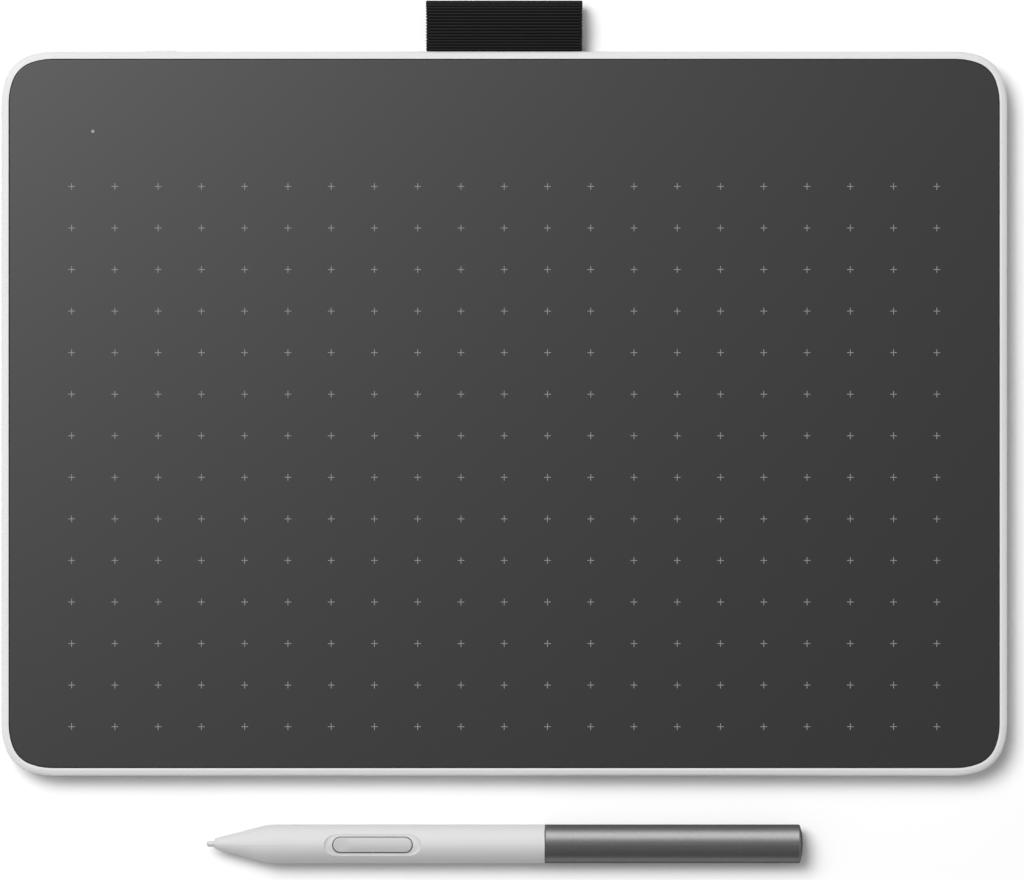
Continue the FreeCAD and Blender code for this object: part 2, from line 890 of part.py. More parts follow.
def case_screws():
    """Screws driven from below into the plate's bosses."""
    screws = []
    seat = case_bottom_z + head_recess_depth
    for x, y in screw_places():
        head = upright(x, y, seat - screw_head_height, seat, screw_head_radius)
        shank = upright(x, y, seat, seat + screw_length, screw_shank_radius)
        screws.append(head.fuse(shank).cut(cross_drive(x, y, seat - screw_head_height, 1)))
    return group(screws)


def usb_front_y():
    """Mouth face of the USB shell, set back from the case's outer face."""
    return half_depth - usb_set_back


def usb_rear_y():
    """Rear face of the USB shell."""
    return usb_front_y() - usb_shell_length


def usb_c_shell():
    """Steel shell of the USB inlet, with its solder tabs on the board."""
    shell = wall_pill(usb_x, loop_mid_z, usb_shell_width, usb_shell_height, usb_rear_y(), usb_front_y())
    bore = wall_pill(usb_x, loop_mid_z, usb_shell_width - 2 * usb_shell_wall,
                     usb_shell_height - 2 * usb_shell_wall, usb_rear_y() - 1, usb_front_y() + 1)
    tabs = []
    for side in (-1, 1):
        inner = usb_x + side * (usb_shell_width / 2 - usb_shell_wall / 2)
        outer = usb_x + side * (usb_shell_width / 2 + usb_tab_width)
        x0, x1 = sorted((inner, outer))
        y1 = board_back - usb_tab_back_inset
        tabs.append(box(x0, x1, y1 - usb_tab_length, y1, board_top_z, board_top_z + usb_tab_thickness))
    return shell.fuse(tabs).cut(bore)


def usb_c_tongue():
    """Plastic base and tongue inside the shell."""
    clear = usb_shell_wall + usb_base_clearance
    base = wall_pill(usb_x, loop_mid_z, usb_shell_width - 2 * clear, usb_shell_height - 2 * clear,
                     usb_rear_y(), usb_rear_y() + usb_base_depth)
    half = usb_tongue_width / 2
    half_z = usb_tongue_thickness / 2
    front = usb_front_y() - usb_tongue_set_back
    tongue = box(usb_x - half, usb_x + half, usb_rear_y(), front, loop_mid_z - half_z, loop_mid_z + half_z)
    return base.fuse(tongue)


def usb_c_contacts():
    """Two rows of contacts on the tongue."""
    contacts = []
    first = usb_x - usb_contact_pitch * (usb_contact_count - 1) / 2
    front = usb_front_y() - usb_tongue_set_back - usb_contact_set_back
    half_z = usb_tongue_thickness / 2
    for index in range(usb_contact_count):
        x0 = first + index * usb_contact_pitch - usb_contact_width / 2
        for z0 in (loop_mid_z + half_z, loop_mid_z - half_z - usb_contact_height):
            contacts.append(box(x0, x0 + usb_contact_width, front - usb_contact_length, front,
                                z0, z0 + usb_contact_height))
    return group(contacts)


def button_z():
    """Height of the power button's centre, in line with its switch."""
    return board_top_z + switch_body_height / 2


def power_button():
    """Power button cap through the back wall, held by its flange."""
    cap = wall_pill(button_x, button_z(), button_length, button_height, inner_back_y - button_seat_gap,
                    half_depth + button_proud)
    outer_edges = [e for e in cap.Edges if e.BoundBox.YMin > half_depth + button_proud - end_stub]
    cap = cap.makeFillet(button_edge_radius, outer_edges)
    flange_back = inner_back_y - button_seat_gap - button_flange_thickness
    flange = wall_pill(button_x, button_z(), button_length + 2 * button_flange_overlap,
                       button_height - 2 * button_flange_rise, flange_back, inner_back_y - button_seat_gap)
    stem = into_case(button_stem_radius, button_stem_length, flange_back)
    return cap.fuse([flange, stem])


def into_case(radius, length, y):
    """Cylinder behind the power button, from y into the case."""
    return Part.makeCylinder(radius, length, Vector(button_x, y, button_z()), Vector(0, -1, 0))


def plunger_front_y():
    """Face of the switch plunger that meets the button's stem."""
    return inner_back_y - button_seat_gap - button_flange_thickness - button_stem_length


def switch_front_y():
    """Front face of the switch body."""
    return plunger_front_y() - plunger_reach


def switch_plunger():
    """Plunger of the power switch, pushed by the button."""
    return into_case(plunger_radius, plunger_reach + plunger_depth, plunger_front_y())


def power_switch():
    """Side pushed switch on the main board."""
    half = switch_body_width / 2
    front = switch_front_y()
    body = box(button_x - half, button_x + half, front - switch_body_depth, front,
               board_top_z, board_top_z + switch_body_height)
    depth = plunger_depth + button_travel + plunger_clearance
    return body.cut(into_case(plunger_radius + plunger_clearance, depth, front))


def status_led():
    """Light source under the light pipe."""
    return box(light_x - led_width / 2, light_x + led_width / 2, light_y - led_depth / 2,
               light_y + led_depth / 2, board_top_z, board_top_z + led_height)


def light_pipe():
    """Clear pipe from above the light source to the drawing face."""
    base = upright(light_x, light_y, carrier_z - light_base_thickness, carrier_z, light_base_radius)
    stem = upright(light_x, light_y, carrier_z - light_base_thickness, overlay_top_z, light_radius)
    return base.fuse(stem)


def controller_chip():
    """Square controller package, beside the status light."""
    half = chip_size / 2
    x = light_x + led_width / 2 + chip_led_gap + half
    y = board_front + chip_offset_y
    return box(x - half, x + half, y - half, y + half, board_top_z, board_top_z + chip_height)


def radio_module():
    """Screened radio module."""
    x = board_right - radio_offset_x
    y = board_front + radio_offset_y
    return rounded_block(x - radio_length / 2, x + radio_length / 2, y - radio_depth / 2, y + radio_depth / 2,
                         board_top_z, board_top_z + radio_height, radio_corner_radius)


def board_parts():
    """Row of small parts on the main board."""
    parts = []
    for index in range(small_part_count):
        x0 = board_right - small_part_offset_x + index * small_part_pitch
        y0 = board_front + small_part_offset_y
        parts.append(box(x0, x0 + small_part_length, y0, y0 + small_part_width, board_top_z,
                         board_top_z + small_part_height))
    return group(parts)


def cable_socket_y():
    """Front face of the flat cable's socket."""
    return board_front + cable_socket_offset


def flat_cable():
    """Flat cable from the sensor's contacts down into its socket."""
    half = cable_thickness / 2
    x0 = board_right - cable_offset_x - cable_width / 2
    high = sensor_z - half
    low = board_top_z + cable_entry_height
    start = sensor_back - cable_overlap
    bend = sensor_back - cable_bend_radius / 2
    end = cable_socket_y() + cable_insertion
    drop_end = cable_socket_y() - cable_entry_gap
    slope = math.atan2(high - low, drop_end - bend)
    shift = half * math.tan(slope / 2)
    corners = [
        (start, high + half, 0),
        (bend + shift, high + half, cable_bend_radius + half),
        (drop_end + shift, low + half, cable_bend_radius - half),
        (end, low + half, 0),
        (end, low - half, 0),
        (drop_end - shift, low - half, cable_bend_radius + half),
        (bend - shift, high - half, cable_bend_radius - half),
        (start, high - half, 0),
    ]
    outline = rounded_outline(corners, lambda point: Vector(x0, point.x, point.y))
    return Part.Face(outline).extrude(Vector(cable_width, 0, 0))


def flat_cable_socket():
    """Socket on the main board for the flat cable."""
    x = board_right - cable_offset_x
    half = cable_width / 2 + cable_socket_side
    y0 = cable_socket_y()
    top = board_top_z + cable_socket_height
    body = box(x - half, x + half, y0, y0 + cable_socket_depth, board_top_z, top)
    slot_half = cable_width / 2 + cable_slot_side_gap
    slot_z = board_top_z + cable_entry_height
    slot_end = y0 + cable_insertion + cable_slot_end_gap
    gap = cable_thickness / 2 + cable_slot_face_gap
    return body.cut(box(x - slot_half, x + slot_half, y0 - 1, slot_end, slot_z - gap, slot_z + gap))


def battery_pack():
    """Flat pouch battery."""
    pack = rounded_block(battery_left, battery_right, battery_front, battery_back, battery_z,
                         battery_z + battery_thickness, 2 * battery_edge_radius)
    rims = edges_at(pack, battery_z + battery_thickness) + edges_at(pack, battery_z)
    return pack.makeFillet(battery_edge_radius, rims)


def battery_tape():
    """Adhesive pad between the battery and the floor."""
    margin = battery_tape_margin
    return box(battery_left + margin, battery_right - margin, battery_front + margin, battery_back - margin,
               inner_floor_z, battery_z)


def battery_socket_y():
    """Front face of the battery socket."""
    return board_front + battery_socket_offset


def battery_lead():
    """Two wires from the battery's edge to its socket: straight runs joined by tangent arcs."""
    wires = []
    start_z = battery_z + lead_battery_height
    end_z = board_top_z + lead_socket_height
    end_y = battery_socket_y()
    route = [
        Vector(0, battery_back, start_z),
        Vector(0, end_y - lead_rise_start, start_z),
        Vector(0, end_y - lead_rise_end, end_z),
        Vector(0, end_y, end_z),
    ]
    for side in (-0.5, 0.5):
        x = lead_x + side * lead_pitch
        points = [Vector(x, p.y, p.z) for p in route]
        path = rounded_route(points, lead_bend_radius)
        circle = Part.Wire(Part.makeCircle(lead_radius, points[0], Vector(0, 1, 0)))
        wires.append(path.makePipeShell([circle], True, False))
    return group(wires)


def rounded_route(points, radius):
    """Open path of straight runs through points, joined by tangent arcs of one radius."""
    edges = []
    last = points[0]
    for index in range(1, len(points) - 1):
        point = points[index]
        to_previous = (points[index - 1] - point).normalize()
        to_next = (points[index + 1] - point).normalize()
        half_angle = to_previous.getAngle(to_next) / 2
        reach = radius / math.tan(half_angle)
        inward = (to_previous + to_next).normalize()
        middle = point + inward * (radius / math.sin(half_angle) - radius)
        start = point + to_previous * reach
        end = point + to_next * reach
        edges.append(Part.LineSegment(last, start).toShape())
        edges.append(Part.Arc(start, middle, end).toShape())
        last = end
    edges.append(Part.LineSegment(last, points[-1]).toShape())
    return Part.Wire(edges)


def battery_socket():
    """Two way socket and plug on the main board."""
    half = battery_socket_width / 2
    y0 = battery_socket_y()
    return box(lead_x - half, lead_x + half, y0, y0 + battery_socket_depth, board_top_z,
               board_top_z + battery_socket_height)


# Pen pieces


def front_barrel():
    """White front half: cone, grip, switch land and window."""
    cone = math.tan(math.radians(cone_angle))
    nose_x = mouth_x + nose_length
    shoulder_x = nose_x + (pen_radius - nose_radius) / cone
    inner_shoulder_x = shoulder_x + barrel_wall * math.tan(math.radians(cone_angle / 2))
    inner_nose_x = inner_shoulder_x - (bore_radius - nib_hole_radius) / cone
    barrel = turned([
        (mouth_x, nib_hole_radius, nib_hole_edge_radius),
        (mouth_x, mouth_radius, mouth_edge_radius),
        (nose_x, nose_radius, nose_blend_radius),
        (shoulder_x, pen_radius, cone_blend_radius),
        (joint_x, pen_radius, barrel_end_radius),
        (joint_x, bore_radius, 0),
        (inner_shoulder_x, bore_radius, bore_shoulder_radius),
        (inner_nose_x, nib_hole_radius, bore_nose_radius),
    ])
    return barrel.cut([switch_land(), key_window(), pivot_hole(1), pivot_hole(-1)])


def pen_pill(length, width, z0, z1):
    """Pill shaped block along the pen, centred on the side switch, heights from the pen's axis."""
    half_x = length / 2
    half_y = width / 2
    return rounded_block(key_x - half_x, key_x + half_x, pen_y - half_y, pen_y + half_y,
                         pen_z + z0, pen_z + z1, half_y - pen_pill_end_flat)


def switch_land():
    """Cutter for the shallow land round the side switch, flatter than the barrel."""
    block = pen_pill(land_length, land_width, 0, pen_radius + 1)
    centre_z = pen_z + pen_radius - land_depth - land_radius
    floor = Part.makeCylinder(land_radius, 2 * land_length, Vector(key_x - land_length, pen_y, centre_z),
                              Vector(1, 0, 0))
    block = block.cut(floor)
    floor_edges = [e for e in block.Edges if e.BoundBox.ZMax < pen_z + pen_radius]
    return block.makeFillet(land_blend_radius, floor_edges)


def key_window():
    """Cutter for the opening that the side switch stands in."""
    return pen_pill(key_length + 2 * key_gap, key_width + 2 * key_gap, key_window_floor, pen_radius + 1)


def pivot_hole(side):
    """Blind hole in the barrel wall for one trunnion of the side switch."""
    reach = pivot_half_length + pivot_end_gap
    centre = Vector(key_x, pen_y, pen_z + pivot_height)
    return Part.makeCylinder(pivot_radius + pivot_clearance, reach, centre, Vector(0, side, 0))


def key_crown():
    """Solid of revolution that shapes the key's top: round across the pen, hollow along it."""
    half = key_length / 2 + key_gap

    def place(x, radius):
        return Vector(key_x + x, pen_y, pen_z - radius)

    crown = Part.Arc(place(-half, key_top_radius), place(0, key_top_radius - key_saddle_depth),
                     place(half, key_top_radius)).toShape()
    corners = [place(half, key_top_radius), place(half, 0), place(-half, 0), place(-half, key_top_radius)]
    sides = [Part.LineSegment(corners[index], corners[index + 1]).toShape() for index in range(3)]
    outline = Part.Wire([crown] + sides)
    return Part.Face(outline).revolve(Vector(0, pen_y, pen_z), Vector(1, 0, 0), 360)


def rocker_switch():
    """Two way side switch: pill key, trunnions and the two feet over the domes."""
    key = pen_pill(key_length, key_width, key_bottom_height, pen_radius + 1)
    key = key.common(key_crown())
    rim = [e for e in key.Edges if e.BoundBox.ZMin > pen_z + key_bottom_height + 1]
    key = key.makeFillet(key_edge_radius, rim)
    axle_end = Vector(key_x, pen_y - pivot_half_length, pen_z + pivot_height)
    axle = Part.makeCylinder(pivot_radius, 2 * pivot_half_length, axle_end, Vector(0, 1, 0))
    feet = []
    for side in (-0.5, 0.5):
        z0 = pen_z + pen_board_top + dome_height + key_foot_gap
        z1 = pen_z + key_bottom_height + key_foot_overlap
        feet.append(upright(key_x + side * dome_spacing, pen_y, z0, z1, key_foot_radius))
    return key.fuse([axle] + feet)


def switch_domes():
    """Two snap domes on the pen's board."""
    domes = []
    for side in (-0.5, 0.5):
        x = key_x + side * dome_spacing
        z0 = pen_z + pen_board_top
        sphere_radius = (dome_radius ** 2 + dome_height ** 2) / (2 * dome_height)
        ball = Part.makeSphere(sphere_radius, Vector(x, pen_y, z0 + dome_height - sphere_radius))
        domes.append(ball.common(upright(x, pen_y, z0, z0 + dome_height + 1, 2 * dome_radius)))
    return group(domes)


def pen_chassis():
    """Inner frame: front ring, board tray, rear plug and the spigot for the rear case."""
    body = along_pen(ring_front_x, joint_x, chassis_radius)
    body = body.cut(along_pen(ring_front_x - 1, ring_back_x + 1, chassis_ring_bore))
    top = box(ring_back_x, tray_back_x, pen_y - pen_radius, pen_y + pen_radius, pen_z + tray_height,
              pen_z + pen_radius)
    body = body.cut(top)
    body = body.cut(along_pen(ring_back_x, sensor_back_x, sensor_radius))
    end_x = joint_x + spigot_length
    groove_x = joint_x + seal_from_shoulder
    spigot = turned([
        (joint_x - 1, 0, 0),
        (joint_x - 1, spigot_radius, 0),
        (end_x, spigot_radius, spigot_edge_radius),
        (end_x, 0, 0),
    ])
    groove_depth_radius = seal_centre_radius() - seal_section_radius
    groove = along_pen(groove_x - seal_section_radius, groove_x + seal_section_radius, pen_radius)
    groove = groove.cut(along_pen(groove_x - 1, groove_x + 1, groove_depth_radius))
    return body.fuse(spigot).cut(groove)


def seal_centre_radius():
    """Radius of the seal ring's centre line."""
    return rear_bore_radius - seal_clearance - seal_section_radius


def seal_ring():
    """Rubber ring on the spigot that grips the rear case."""
    return Part.makeTorus(seal_centre_radius(), seal_section_radius,
                          Vector(joint_x + seal_from_shoulder, pen_y, pen_z), Vector(1, 0, 0))


def rear_case():
    """Dark rear half, open at the front, pulled off the spigot."""
    front_x = joint_x + rear_split_gap
    bore_end_x = tail_x - rear_end_wall
    crown_x = tail_x - tail_dome_height * tail_crown_height_share
    return turned([
        (front_x, rear_bore_radius, rear_bore_edge_radius),
        (front_x, pen_radius, rear_front_radius),
        (tail_x - tail_dome_height, pen_radius, tail_edge_radius),
        (crown_x, pen_radius * tail_crown_width_share, tail_crown_radius),
        (tail_x, 0, 0),
        (bore_end_x, 0, 0),
        (bore_end_x, rear_bore_radius, rear_end_radius),
    ])


def pen_board():
    """Pen circuit board on the tray."""
    half = pen_board_width / 2
    return box(pen_board_front_x, pen_board_back_x, pen_y - half, pen_y + half, pen_z + tray_height,
               pen_z + pen_board_top)


def pen_components():
    """Tuning parts on the pen's board."""
    parts = []
    for index in range(pen_part_count):
        x1 = pen_board_back_x - pen_part_rear_gap - index * pen_part_pitch
        half = pen_part_width / 2
        z0 = pen_z + pen_board_top
        parts.append(box(x1 - pen_part_length, x1, pen_y - half, pen_y + half, z0, z0 + pen_part_height))
    return group(parts)


def ferrite_core():
    """Ferrite tube round the nib, seated on the chassis ring."""
    tube = along_pen(ring_front_x - ferrite_length, ring_front_x, ferrite_radius)
    return tube.cut(along_pen(ring_front_x - ferrite_length - 1, ring_front_x + 1, nib_hole_radius))


def coil():
    """Copper winding on the ferrite."""
    end = ring_front_x - coil_rear_gap
    winding = along_pen(end - coil_length, end, coil_radius)
    return winding.cut(along_pen(end - coil_length - 1, end + 1, ferrite_radius))


def pressure_sensor():
    """Tip force sensor in the chassis, with the guide bore for the holder's rod."""
    body = along_pen(sensor_front_x, sensor_back_x, sensor_radius)
    depth = rod_tip_x() - sensor_front_x + nib_travel + rod_end_gap
    return body.cut(along_pen(sensor_front_x - 1, sensor_front_x + depth, rod_radius + rod_clearance))


def rod_tip_x():
    """Rear end of the holder's rod."""
    return holder_front_x + holder_length + rod_length


def nib_holder():
    """Sliding holder: a socket for the nib and a rod into the force sensor."""
    back_x = holder_front_x + holder_length
    body = turned([
        (holder_front_x, 0, 0),
        (holder_front_x, holder_radius, holder_edge_radius),
        (back_x, holder_radius, holder_edge_radius),
        (back_x, rod_radius, 0),
        (rod_tip_x(), rod_radius, rod_tip_radius),
        (rod_tip_x(), 0, 0),
    ])
    socket_radius = nib_shaft_radius + holder_bore_clearance
    return body.cut(along_pen(holder_front_x - 1, nib_end_x + nib_seat_gap, socket_radius))


def nib():
    """Replaceable plastic nib with a rounded tip."""
    return turned([
        (tip_x, 0, 0),
        (tip_x, nib_radius, nib_tip_radius),
        (tip_x + nib_front_length, nib_radius, 0),
        (tip_x + nib_front_length + nib_step_length, nib_shaft_radius, 0),
        (nib_end_x, nib_shaft_radius, nib_end_radius),
        (nib_end_x, 0, 0),
    ])


nodes = {
    "lower_case": lower_case,
    "top_plate": top_plate,
    "overlay_sheet": overlay_sheet,
    "sensor_board": sensor_board,
    "shield_plate": shield_plate,
    "main_board": main_board,
    "board_screws": board_screws,
    "case_screws": case_screws,
    "controller_chip": controller_chip,
    "radio_module": radio_module,
    "board_parts": board_parts,
    "flat_cable": flat_cable,
    "flat_cable_socket": flat_cable_socket,
    "usb_c_shell": usb_c_shell,
    "usb_c_tongue": usb_c_tongue,
    "usb_c_contacts": usb_c_contacts,
    "power_switch": power_switch,
    "switch_plunger": switch_plunger,
    "power_button": power_button,
    "status_led": status_led,
    "light_pipe": light_pipe,
    "battery_pack": battery_pack,
    "battery_tape": battery_tape,
    "battery_lead": battery_lead,
    "battery_socket": battery_socket,
    "pen_loop": pen_loop,
    "loop_anchor_bar": loop_anchor_bar,
    "front_barrel": front_barrel,
    "pen_chassis": pen_chassis,
    "pen_board": pen_board,
    "pen_components": pen_components,
    "ferrite_core": ferrite_core,
    "coil": coil,
    "pressure_sensor": pressure_sensor,
    "nib_holder": nib_holder,
    "nib": nib,
    "rocker_switch": rocker_switch,
    "switch_domes": switch_domes,
    "seal_ring": seal_ring,
    "rear_case": rear_case,
}


def write_parts():
    """Build every node and write its file."""
    os.makedirs("parts", exist_ok=True)
    shapes = {name: make() for name, make in nodes.items()}
    for name, x, y in foot_places():
        shapes["foot_" + name] = foot(x, y)
    for name, shape in shapes.items():
        bounds = shape.BoundBox
        print(name, "solids", len(shape.Solids), "valid", shape.isValid(), "volume", round(shape.Volume, 2),
              "x", round(bounds.XMin, 2), round(bounds.XMax, 2), "y", round(bounds.YMin, 2),
              round(bounds.YMax, 2), "z", round(bounds.ZMin, 2), round(bounds.ZMax, 2))
        shape.exportStep("parts/" + name + ".step")


write_parts()
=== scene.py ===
import json
import math

import bmesh
import bpy
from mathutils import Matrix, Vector


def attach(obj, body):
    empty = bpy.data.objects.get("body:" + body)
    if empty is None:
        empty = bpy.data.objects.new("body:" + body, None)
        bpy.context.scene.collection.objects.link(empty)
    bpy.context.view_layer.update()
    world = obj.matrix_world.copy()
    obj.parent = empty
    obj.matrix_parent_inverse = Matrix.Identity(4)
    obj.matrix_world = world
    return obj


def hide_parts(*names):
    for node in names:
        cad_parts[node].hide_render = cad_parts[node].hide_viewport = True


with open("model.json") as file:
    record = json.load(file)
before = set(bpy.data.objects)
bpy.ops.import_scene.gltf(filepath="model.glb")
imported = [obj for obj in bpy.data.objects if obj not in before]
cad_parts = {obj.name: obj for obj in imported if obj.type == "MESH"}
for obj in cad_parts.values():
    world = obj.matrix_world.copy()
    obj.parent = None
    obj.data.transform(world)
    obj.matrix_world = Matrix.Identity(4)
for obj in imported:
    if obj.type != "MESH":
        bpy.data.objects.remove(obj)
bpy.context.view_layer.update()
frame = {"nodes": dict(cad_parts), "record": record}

# Graphics tablet with its pen. Metres, +Z up, the origin on the desk under the tablet's centre.
# +Y points away from the user, towards the ribbon loop that holds the pen.

mm = 0.001
scene = bpy.context.scene

# Places and sizes shared with the solids
case_back_y = 90.5 * mm
drawing_face_z = 8.2 * mm
loop_mid_z = 4.3 * mm
wall_thickness = 3.0 * mm

# Ribbon loop: a closed ring through two slots in the back wall and round the anchor bar
ribbon_width = 39.2 * mm
ribbon_thickness = 0.9 * mm
loop_reach = 12.95 * mm
loop_half_height = 3.6 * mm
loop_wall_half_height = 1.8 * mm
loop_mouth_radius = 4.0 * mm
loop_rise_angle = math.radians(20.0)
loop_rise_radius = 8.0 * mm
loop_crown_radius = 6.4 * mm
loop_tip_angle = math.radians(33.0)
arc_steps = 12
bar_depth = 2.0 * mm
bar_gap = 0.1 * mm
rib_pitch = 0.75 * mm
rib_depth = 0.3 * mm
rib_steps = 8
ribbon_edge_radius = 0.3 * mm

# Printed crosses of the drawing area
cross_columns = 21
cross_rows = 14
cross_column_pitch = 10.805 * mm
cross_row_pitch = 10.38 * mm
cross_centre = (0.0, -10.74 * mm)
cross_size = 1.67 * mm
cross_stroke = 0.18 * mm
ink_thickness = 0.012 * mm

# Camera, straight above a point a little in front of the tablet's centre; lens and sensor in mm
view_centre = (1.945 * mm, -6.61 * mm)
view_height = 1420.9 * mm
view_lens = 200.0
view_sensor = 36.0
view_nearest = 0.05
view_farthest = 20.0

# Floor, in metres. It glows for the camera, by floor_glow near the set and fully from glow_full on.
floor_half_width = 3.0
floor_drop = 0.05 * mm
floor_glow = 0.04
glow_rises = 0.25
glow_full = 0.8

# Lamps: place, and width and depth, in metres, and power in watts. All are turned to lamps_aim.
lamps_aim = (0.0, 0.0, 0.0)
key_place = (-0.759, 0.846, 2.113)
key_size = (0.97, 0.97)
key_power = 36.0
paper_lamp_size = (1.5, 1.5)
paper_lamp_power = 56.0
barrel_strip_place = (0.0, 1.81, 0.845)
barrel_strip_size = (0.95, 1.7)
barrel_strip_power = 17.5
rear_panel_place = (0.0, 1.64, 1.15)
rear_panel_size = (2.3, 1.7)
rear_panel_power = 43.0
room_base = 0.07
room_sides = 1.5


# Small tools


def linear(colour):
    """An sRGB hex colour as linear red, green, blue and alpha."""
    channels = [int(colour[start:start + 2], 16) / 255 for start in (1, 3, 5)]
    curve = [c / 12.92 if c <= 0.04045 else ((c + 0.055) / 1.055) ** 2.4 for c in channels]
    return (*curve, 1.0)


def per_metre(size_mm):
    """Pattern scale whose features are size_mm millimetres apart."""
    return 1000 / size_mm


def add(tree, kind, inputs=None, **settings):
    """Adds a node, sets its properties, and sets or links its inputs by name or number."""
    node = tree.nodes.new(kind)
    for name, value in settings.items():
        setattr(node, name, value)
    for name, value in (inputs or {}).items():
        if isinstance(value, bpy.types.NodeSocket):
            tree.links.new(value, node.inputs[name])
        else:
            node.inputs[name].default_value = value
    return node


def new_material(name):
    """Empty node material and its tree."""
    material = bpy.data.materials.new(name)
    material.use_nodes = True
    material.node_tree.nodes.clear()
    return material, material.node_tree


def finish_surface(tree, shader):
    """Links the shader to the material's output."""
    add(tree, "ShaderNodeOutputMaterial", {"Surface": shader.outputs[0]})


# Materials


def moulded_plastic(name, colour, roughness, grain_mm=0.35, grain_depth=0.006, tint=0.03):
    """Injection moulded plastic: even colour, a fine spark grain and a soft wide highlight."""
    material, tree = new_material(name)
    place = add(tree, "ShaderNodeTexCoord").outputs["Object"]
    cloud = add(tree, "ShaderNodeTexNoise", {"Vector": place, "Scale": per_metre(18.0), "Detail": 2.0})
    deep = tuple(c * (1 - tint) for c in linear(colour)[:3]) + (1.0,)
    colours = add(tree, "ShaderNodeMix", {0: cloud.outputs["Fac"], 6: deep, 7: linear(colour)},
                  data_type="RGBA")
    grain = add(tree, "ShaderNodeTexNoise", {"Vector": place, "Scale": per_metre(grain_mm), "Detail": 3.0})
    dull = add(tree, "ShaderNodeMapRange", {0: grain.outputs["Fac"], 1: 0.3, 2: 0.7, 3: roughness - 0.04,
                                            4: roughness + 0.04})
    bump = add(tree, "ShaderNodeBump", {"Height": grain.outputs["Fac"], "Strength": 0.5,
                                        "Distance": grain_depth * mm})
    shader = add(tree, "ShaderNodeBsdfPrincipled", {"Base Color": colours.outputs[2], "IOR": 1.53,
                                                    "Roughness": dull.outputs[0], "Normal": bump.outputs[0]})
    finish_surface(tree, shader)
    return material


def drawing_film():
    """Textured hard coated polyester film: charcoal, with a fine tooth that spreads the light."""
    material, tree = new_material("textured_polyester_film")
    place = add(tree, "ShaderNodeTexCoord").outputs["Object"]
    # The real tooth is about 0.05 mm; it is drawn at 0.5 mm so that it shows in a close view.
    tooth = add(tree, "ShaderNodeTexNoise", {"Vector": place, "Scale": per_metre(0.5), "Detail": 4.0})
    colours = add(tree, "ShaderNodeMix", {0: tooth.outputs["Fac"], 6: linear("#0c0c0c"),
                                          7: linear("#101010")}, data_type="RGBA")
    bump = add(tree, "ShaderNodeBump", {"Height": tooth.outputs["Fac"], "Strength": 0.3,
                                        "Distance": 0.008 * mm})
    shader = add(tree, "ShaderNodeBsdfPrincipled", {"Base Color": colours.outputs[2], "IOR": 1.5,
                                                    "Roughness": 0.39, "Specular IOR Level": 0.72,
                                                    "Normal": bump.outputs[0]})
    finish_surface(tree, shader)
    return material


def woven_ribbon():
    """Black polyester grosgrain: its colour darkens from the rib crests into the valleys as painted shade,
    warp threads crossing them.
    """
    material, tree = new_material("polyester_grosgrain")
    rib = add(tree, "ShaderNodeAttribute", attribute_name="rib").outputs["Fac"]
    across = add(tree, "ShaderNodeAttribute", attribute_name="across").outputs["Fac"]
    # Warp threads lie about 0.2 mm apart; drawn at 0.3 mm.
    turns = add(tree, "ShaderNodeMath", {0: across, 1: 2 * math.pi / (0.3 * mm)}, operation="MULTIPLY")
    warp = add(tree, "ShaderNodeMath", {0: turns.outputs[0]}, operation="SINE")
    place = add(tree, "ShaderNodeTexCoord").outputs["Object"]
    fuzz = add(tree, "ShaderNodeTexNoise", {"Vector": place, "Scale": per_metre(0.25), "Detail": 3.0})
    # Painted shade: the valleys between the weft ribs get a near black colour and the crests a dark grey.
    colours = add(tree, "ShaderNodeMix", {0: rib, 6: linear("#010101"), 7: linear("#2a2a2a")},
                  data_type="RGBA")
    height = add(tree, "ShaderNodeMath", {0: warp.outputs[0], 1: 0.5, 2: fuzz.outputs["Fac"]},
                 operation="MULTIPLY_ADD")
    bump = add(tree, "ShaderNodeBump", {"Height": height.outputs[0], "Strength": 0.6,
                                        "Distance": 0.03 * mm})
    shader = add(tree, "ShaderNodeBsdfPrincipled", {"Base Color": colours.outputs[2], "Roughness": 0.65,
                                                    "Specular IOR Level": 0.1, "Normal": bump.outputs[0]})
    finish_surface(tree, shader)
    return material


def metallic_paint():
    """Sprayed metallic paint on ABS: grey, with a satin highlight that runs along the barrel."""
    material, tree = new_material("metallic_grey_paint")
    place = add(tree, "ShaderNodeTexCoord").outputs["Object"]
    # The flakes are about 0.03 mm; drawn at 0.25 mm and kept faint.
    flake = add(tree, "ShaderNodeTexVoronoi", {"Vector": place, "Scale": per_metre(0.25)})
    tone = add(tree, "ShaderNodeSeparateColor", {0: flake.outputs["Color"]})
    colours = add(tree, "ShaderNodeMix", {0: tone.outputs[0], 6: linear("#7c7c7c"), 7: linear("#848484")},
                  data_type="RGBA")
    haze = add(tree, "ShaderNodeTexNoise", {"Vector": place, "Scale": per_metre(1.2), "Detail": 3.0})
    bump = add(tree, "ShaderNodeBump", {"Height": haze.outputs["Fac"], "Strength": 0.2,
                                        "Distance": 0.01 * mm})
    shader = add(tree, "ShaderNodeBsdfPrincipled", {"Base Color": colours.outputs[2], "Metallic": 1.0,
                                                    "Roughness": 0.46, "Specular Tint": linear("#595959"),
                                                    "Normal": bump.outputs[0]})
    finish_surface(tree, shader)
    return material


